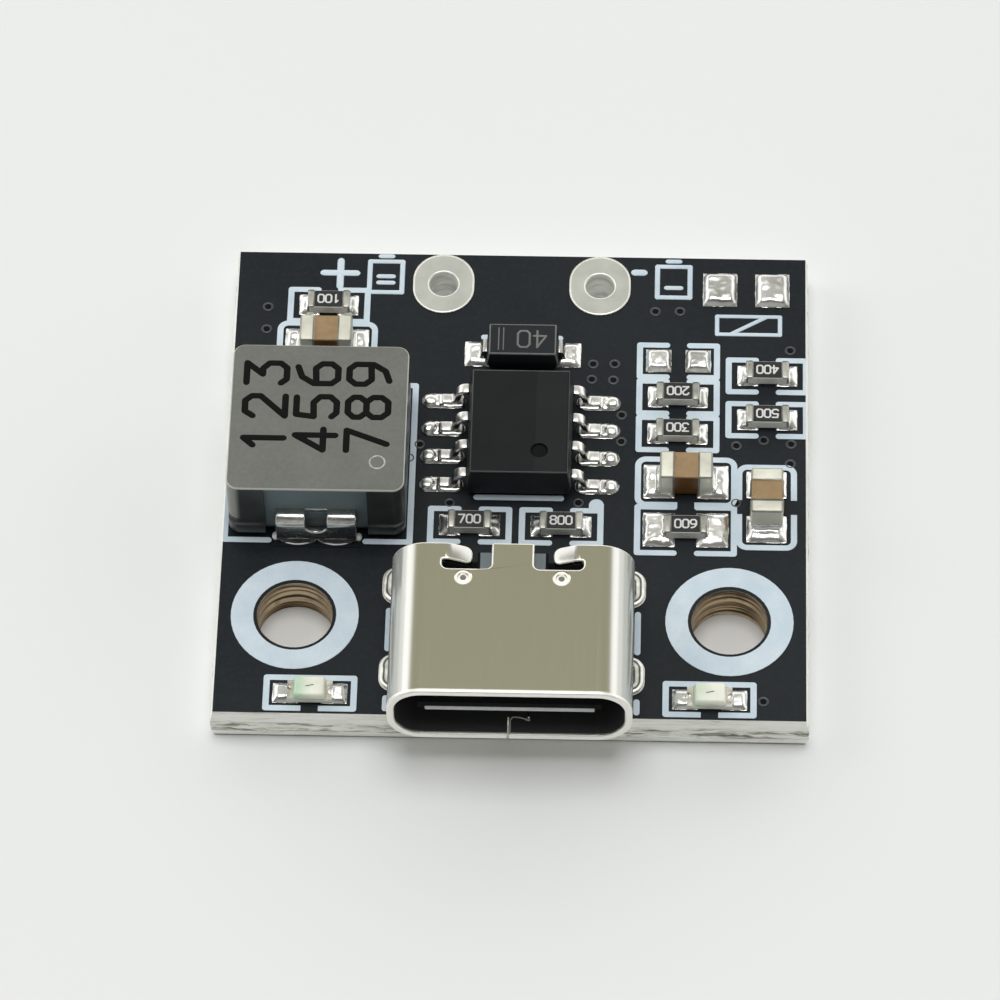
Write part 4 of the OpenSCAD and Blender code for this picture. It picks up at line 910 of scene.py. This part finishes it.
# Printed signs beside the battery pads and the sensor pads, as width and (x, y) from the board's middle, mm
signs = {
    "plusSign": (0.28, [[(-6.98, 8.85), (-6.98, 10.05)], [(-7.62, 9.48), (-6.36, 9.48)]]),
    "minusSign": (0.3, [[(4.33, 9.7), (4.67, 9.7)]]),
    "cellLeft": (0.2, [[(-5.85, 8.6), (-4.6, 8.6), (-4.6, 10.05), (-5.85, 10.05), (-5.85, 8.6)],
                       [(-5.45, 10.3), (-5.0, 10.3)], [(-5.5, 9.05), (-4.95, 9.05)],
                       [(-5.5, 9.35), (-4.95, 9.35)]]),
    "cellRight": (0.2, [[(5.2, 8.55), (6.45, 8.55), (6.45, 10.0), (5.2, 10.0), (5.2, 8.55)],
                        [(5.6, 10.25), (6.05, 10.25)], [(5.55, 9.0), (6.1, 9.0)]]),
    "sensorSign": (0.17, [[(7.5, 6.86), (9.9, 6.86), (9.9, 7.7), (7.5, 7.7), (7.5, 6.86)],
                          [(8.0, 6.86), (9.4, 7.7)]]),
}
for name, (width, paths) in signs.items():
    strokes(name, paths, width, 0.024, Vector((0, 0, boardTop)), "print", "print")
print("marks printed")

# Vias: a small dimpled ring under the mask, paler for the copper under it and as painted highlight, with a
# black pit of painted shade; (x, y) from the front edge's middle, mm
viaPlaces = [(-9.69, 18.24), (-9.70, 17.20), (5.14, 18.29), (6.08, 18.31), (2.80, 15.79), (2.76, 15.08),
             (3.62, 15.81), (3.58, 15.06), (3.92, 13.45), (3.92, 12.24), (-3.68, 11.97), (-4.05, 11.35),
             (10.29, 16.55), (9.29, 12.4), (10.32, 12.24), (8.26, 12.13), (10.29, 11.34), (8.26, 9.53),
             (-2.46, 9.34), (2.35, 9.44), (9.3, 0.8)]
viaSizes = {"ring": 0.165, "tube": 0.05, "pit": 0.125}


def addVias(v):
    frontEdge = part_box("solder_mask_top")[0].y
    spots = [(x * mm, frontEdge + y * mm, boardTop) for x, y in viaPlaces]
    rings = [ring(spot, v["ring"], v["tube"], 0.5, 24, 8) for spot in spots]
    pits = [bead(spot, v["pit"], 0.06, 16, 8) for spot in spots]
    together(rings, "viaRings", "viaRing", "solder_mask")
    together(pits, "viaPits", "hollow", "solder_mask")


addVias(viaSizes)


# Solder: the land, its fillet and the lead's foot melted into one lump that falls off towards its border
def fall(reach, shoulder):                      # 0 at the border, 1 from the shoulder's width on
    left = 1 - min(max(reach / (shoulder * mm), 0), 1)
    return 1 - left ** 2


def melt(name, landNode, solderNodes, inside=lambda p: True, rise=0.16, voxel=0.036, rounds=8, lump=0.03,
         shoulder=0.3, extras=(), finish="solder"):
    lumpTexture = bpy.data.textures.new(name + "Lumps", "CLOUDS")
    lumpTexture.noise_scale, lumpTexture.noise_depth = 0.45 * mm, 1
    parts = list(extras)
    for node, lift in [(landNode, rise)] * bool(landNode) + [(solder, 0) for solder in solderNodes]:
        piece = nodeCopy(node, name + node)
        trim(piece, lambda p: not inside(p))
        if lift:                                # the land's top rises to the solder's height
            pick(piece, lambda p: p.z > landTop - 0.005 * mm)
            bpy.ops.transform.translate(value=(0, 0, lift * mm))
            bpy.ops.object.mode_set(mode="OBJECT")
        parts.append(piece)
    piece = join(parts, name)
    apply(piece, "REMESH", mode="VOXEL", voxel_size=voxel * mm)
    apply(piece, "SMOOTH", factor=0.5, iterations=rounds)
    apply(piece, "DISPLACE", texture=lumpTexture, texture_coords="LOCAL", strength=lump * 2 * mm,
          mid_level=0.5)
    boxes = [box for box in islands(landNode) if inside((box[0] + box[1]) / 2)] if landNode else []
    for point in piece.data.vertices:
        p = point.co
        p.z = max(p.z, 0.001 * mm)
        if boxes and p.z > landTop:
            p.z = landTop + (p.z - landTop) * max(
                fall(min(p.x - a.x, b.x - p.x), shoulder) * fall(min(p.y - a.y, b.y - p.y), shoulder)
                for a, b in boxes)
    alone(piece)
    bpy.ops.object.shade_smooth()
    settle(piece, finish, "solder", *solderNodes)
    print(name, len(piece.data.polygons), "faces")


def around(node, reachX=0.9, reachY=0.35):      # a test for points near a node's box
    low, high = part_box(node)
    return lambda p: (low.x - reachX * mm < p.x < high.x + reachX * mm
                      and low.y - reachY * mm < p.y < high.y + reachY * mm)


def anyOf(*tests):
    return lambda p: any(test(p) for test in tests)


coilLands = {"halfX": 2.3, "reachY": 1.2}       # the lands under the inductor's two terminals, mm


def inductorZone(p):
    low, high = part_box("inductor_body")
    return (abs(p.x - (low.x + high.x) / 2) < coilLands["halfX"] * mm
            and low.y - coilLands["reachY"] * mm < p.y < high.y + coilLands["reachY"] * mm)


def drops(name, places, radii):                 # round drops of solder, as one piece
    made = []
    for spot in places:
        bpy.ops.mesh.primitive_ico_sphere_add(subdivisions=4, radius=1, location=spot)
        bpy.context.object.scale = Vector(radii) * mm
        made.append(bpy.context.object)
    return join(made, name)


chipZone = anyOf(around("chip_leads_left"), around("chip_leads_right"))
diodeZone = around("diode_body", 1.2)
lampZone = anyOf(around("lamp_base_left", 1.2), around("lamp_base_right", 1.2))
# Solder in front of the inductor: two lobes painted dark as painted shade, with a border and a drop at each
# corner painted white as painted highlight, from its middle
lobes = {"x": 0.77, "y": -3.32, "radii": (0.76, 0.4, 0.11), "cornerX": 1.55, "cornerY": -3.4, "cuspY": -3.47,
         "frontY": -3.73, "rim": 0.075, "cornerRadii": (0.13, 0.17, 0.12), "cornerLift": 0.04}
endDrop = {"inset": 0.3, "lift": 0.03, "radii": (0.3, 0.27, 0.15)}   # at the end of each of the chip's lands
coil = middleOf("inductor_body")


def addLobeRims(v):
    paths = []
    for side in (-1, 1):
        path = []
        for k in range(13):                     # from the cusp to the corner, by way of the front
            share = k / 12
            start, end = v["cuspY"], v["cornerY"]
            bulge = math.sin(share * math.pi) ** 0.7
            path.append((side * v["cornerX"] * share,
                         start + (end - start) * share + (v["frontY"] - (start + end) / 2) * bulge))
        paths.append(path)
    strokes("lobeRims", paths, v["rim"], 0.05, Vector((coil.x, coil.y, landTop + 0.005 * mm)), "solderHighlight",
            "solder")


addLobeRims(lobes)
lobeDrops = drops("lobeDrops", [(coil.x + side * lobes["x"] * mm, coil.y + lobes["y"] * mm, landTop)
                                for side in (-1, 1)], lobes["radii"])
cornerDrops = drops("cornerDrops", [(coil.x + side * lobes["cornerX"] * mm, coil.y + lobes["cornerY"] * mm,
                                     landTop + lobes["cornerLift"] * mm) for side in (-1, 1)],
                    lobes["cornerRadii"])
settle(cornerDrops, "solderHighlight", "solder")
bpy.ops.object.shade_smooth()
chipMiddle = middleOf("chip_body")
blobs = []
for low, high in islands("component_lands"):
    middle = (low + high) / 2
    if chipZone(middle):
        inset = endDrop["inset"] * mm
        outer = high.x - inset if middle.x > chipMiddle.x else low.x + inset
        blobs.append((outer, middle.y, landTop + endDrop["lift"] * mm))
melt("chipSolder", "component_lands", ["chip_solder"], chipZone, rise=0.07, rounds=5, shoulder=0.14,
     extras=[drops("endDrops", blobs, endDrop["radii"])])
melt("diodeSolder", "component_lands", ["diode_solder"], diodeZone)
melt("lampSolder", "component_lands", ["lamp_solder"], lampZone, shoulder=0.25)
melt("inductorSolder", None, ["inductor_solder"], rounds=6, lump=0.015, extras=[lobeDrops],
     finish="shadedSolder")
melt("partSolder", "component_lands", ["resistor_solder", "capacitor_solder"],
     lambda p: not (chipZone(p) or diodeZone(p) or lampZone(p) or inductorZone(p)), rise=0.15, lump=0.045)
melt("spareSolder", "spare_lands", [], rise=0.13, voxel=0.04, lump=0.04, shoulder=0.24)
melt("sensorSolder", "sensor_pads", [], rise=0.14, voxel=0.045, lump=0.035, shoulder=0.28)
melt("socketSolder", None, ["socket_solder"], rounds=10, lump=0.015, finish="legSolder")

# The tinned film of the lands; the mask's film covers the inductor's lands around its solder
landFilm = nodeCopy("component_lands", "landFilm")
trim(landFilm, inductorZone)
settle(landFilm, "tin", "tinned_copper", "component_lands")
coveredLands = nodeCopy("component_lands", "coveredLands")
trim(coveredLands, lambda p: not inductorZone(p))
settle(coveredLands, "mask", "solder_mask")
print("solder melted")

# Ridged walls of the mounting holes
holeWall = {"radius": 1.413, "ridge": 0.035, "rough": 0.03, "turns": 5, "around": 72, "levels": 42}


def addHoleWalls(v):
    bottom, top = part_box("board_core")[0].z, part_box("board_core")[1].z
    for side, name in ((-1, "holeWallLeft"), (1, "holeWallRight")):
        middle = Vector((side * mountHole["x"] * mm, mountHole["y"] * mm))
        wall = join([openTube(middle, v["radius"], bottom, top, v["around"], v["levels"])], name)
        for point in wall.data.vertices:        # shallow ridges of the drill
            out = point.co.to_2d() - middle
            turn = math.atan2(out.y, out.x)
            wave = math.sin((point.co.z - bottom) / (top - bottom) * math.tau * v["turns"] + turn)
            rough = noise.noise(Vector((point.co.x, point.co.y, point.co.z * 3)) * 900)
            patch = max(math.sin(turn), 0) ** 5 + 0.25 * abs(noise.noise(point.co * 700))
            reach = (v["radius"] - v["ridge"] * (0.5 + 0.5 * wave) * patch - v["rough"] * abs(rough)) * mm
            out = out.normalized() * reach
            point.co.x, point.co.y = middle.x + out.x, middle.y + out.y
        edit(wall, lambda: bpy.ops.mesh.normals_make_consistent(inside=True))
        bpy.ops.object.shade_smooth()
        settle(wall, "holeWall", "laminate")


addHoleWalls(holeWall)

# The board's edge: a scored bevel above and below a web that was broken off
# "out" and "depth" are the score's, "web" is the share of "out" from which the web is torn
tornEdge = {"around": 1200, "levels": 40, "tear": 0.09, "chip": 0.02, "back": 0.25, "out": 0.13,
            "depth": 0.55, "web": 0.75}


def addTornEdge(v):
    low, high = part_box("board_core")
    core = nodeCopy("board_core", "boardCore")
    for point in core.data.vertices:            # the core draws back under the torn skin
        for i in (0, 1):
            if abs(point.co[i]) > high[i] - 0.05 * mm:
                point.co[i] *= 1 - v["back"] * mm / high[i]
    settle(core, "laminate", "laminate", "board_core")
    reach = v["out"] * mm
    halfX, halfY = high.x - reach, high.y - reach
    middle, tall = (low.z + high.z) / 2, (high.z - low.z) / 2
    skin = join([openTube((0, 0), 10, low.z, high.z, v["around"], v["levels"])], "boardEdge")
    for point in skin.data.vertices:
        turn = (math.atan2(point.co.y, point.co.x) / math.tau) % 1 * 4
        side, along = int(turn) % 4, turn % 1 * 2 - 1
        rise = tall - abs(point.co.z - middle)
        out = min(rise * v["out"] / v["depth"], reach)
        s = (halfY, halfX, halfY, halfX)[side] * along + side * 0.03
        web = min(max((out / reach - v["web"]) / (1 - v["web"]), 0), 1)
        grain = noise.noise(Vector((s * 800, point.co.z * 9000, side)))
        grain += 0.6 * noise.noise(Vector((s * 2600, point.co.z * 14000, side + 9)))
        out -= (v["tear"] * web * max(grain + 0.2, 0) + v["chip"] * abs(grain) * (out > 0)) * mm
        out = max(out, 0.0)
        edgeX, edgeY = halfX + out, halfY + out
        point.co.x, point.co.y = [(edgeX, edgeY * along), (-edgeX * along, edgeY),
                                  (-edgeX, -edgeY * along), (edgeX * along, -edgeY)][side]
    apply(skin, "SOLIDIFY", thickness=0.12 * mm, offset=-1)
    alone(skin)
    bpy.ops.object.shade_smooth_by_angle(angle=math.radians(50))
    settle(skin, "laminate", "laminate")


addTornEdge(tornEdge)

# The tongue's lit front edge and the seam's edge, a pale stroke of painted highlight, both in the socket's
# mouth
mouthLines = {"tongueW": 6.2, "tongueT": 0.26, "tongueL": 0.24, "tongueDrop": 0.2, "seamW": 0.06,
              "seamEndW": 0.12, "seamRun": 0.6, "seamRise": 0.78}


def addMouthLines(v):
    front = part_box("socket_insulator")[0].y
    shellLow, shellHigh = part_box("socket_shell")
    middle = (shellLow.x + shellHigh.x) / 2
    axis = shellHigh.z - shell["h"] / 2 * mm
    bpy.ops.mesh.primitive_cube_add(size=1, location=(middle, front + 0.1 * mm, axis - v["tongueDrop"] * mm),
                                    scale=(v["tongueW"] * mm, v["tongueL"] * mm, v["tongueT"] * mm))
    edge = join([bpy.context.object], "tongueEdge")
    apply(edge, "BEVEL", width=0.05 * mm, segments=3, use_clamp_overlap=False)
    bpy.ops.object.shade_smooth_by_angle(angle=math.radians(40))
    settle(edge, "tongueEdge", "socket_plastic")
    floor = boardTop + (shell["wall"] + 0.01) * mm
    start = Vector((middle, shellLow.y, floor))
    run, rise = v["seamRun"], v["seamRise"]
    strokes("seamEdge", [[(0, 0.05), (0, rise - 0.14), (0.1, rise), (0.34, rise - 0.01), (run, rise - 0.09)]],
            v["seamW"], 0.04, start, "seam", "shell_steel")
    strokes("seamEnd", [[(run, rise - 0.09), (run + 0.08, rise - 0.11)]], v["seamEndW"], 0.05, start, "seam",
            "shell_steel")


addMouthLines(mouthLines)

# Rims and floors of the two pressed dimples on the shell, painted white as painted highlight, with grey
# centres as painted shade
dimple = {"pitch": 3.6, "rear": 1.52, "radius": 0.26, "tube": 0.05, "floor": 0.24, "floorDrop": 0.08,
          "pit": 0.12, "pitDrop": 0.052}


def addDimpleRims(v):
    low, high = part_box("socket_shell")
    middle = (low.x + high.x) / 2
    rims, pits = [], []
    for side in (-1, 1):
        x, y = middle + side * v["pitch"] / 2 * mm, high.y - v["rear"] * mm
        rims.append(ring((x, y, high.z - v["tube"] * 0.6 * mm), v["radius"], v["tube"], 0.55, 40, 12))
        rims.append(bead((x, y, high.z - v["floorDrop"] * mm), v["floor"], 0.15, 28, 12))
        pits.append(bead((x, y, high.z - v["pitDrop"] * mm), v["pit"], 0.15, 28, 12))
    together(rims, "dimpleRims", "shellEdge", "shell_steel")
    together(pits, "dimplePits", "dimplePitShade", "shell_steel")


addDimpleRims(dimple)

# The floor of the chip's mark stays dark
chipLow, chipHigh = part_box("chip_body")
pitSpot = (chipHigh.x - chipDimple["side"] * mm, chipLow.y + chipDimple["end"] * mm, chipHigh.z - 0.06 * mm)
together([bead(pitSpot, chipDimple["d"] / 2 - 0.01, 0.12, 40, 12)], "chipPit", "hollow", "moulded_epoxy")

# The die under each lamp's lens shows as a short dark line
for side in ("left", "right"):
    spot = middleOf("lamp_lens_" + side)
    spot.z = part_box("lamp_lens_" + side)[1].z
    strokes("lampDie" + side.title(), [[(-0.12, -0.03), (0.14, 0.03)]], 0.045, 0.012, spot, "laserMark",
            "lamp_lens")
print("hole walls, torn edge and mouth lines made")
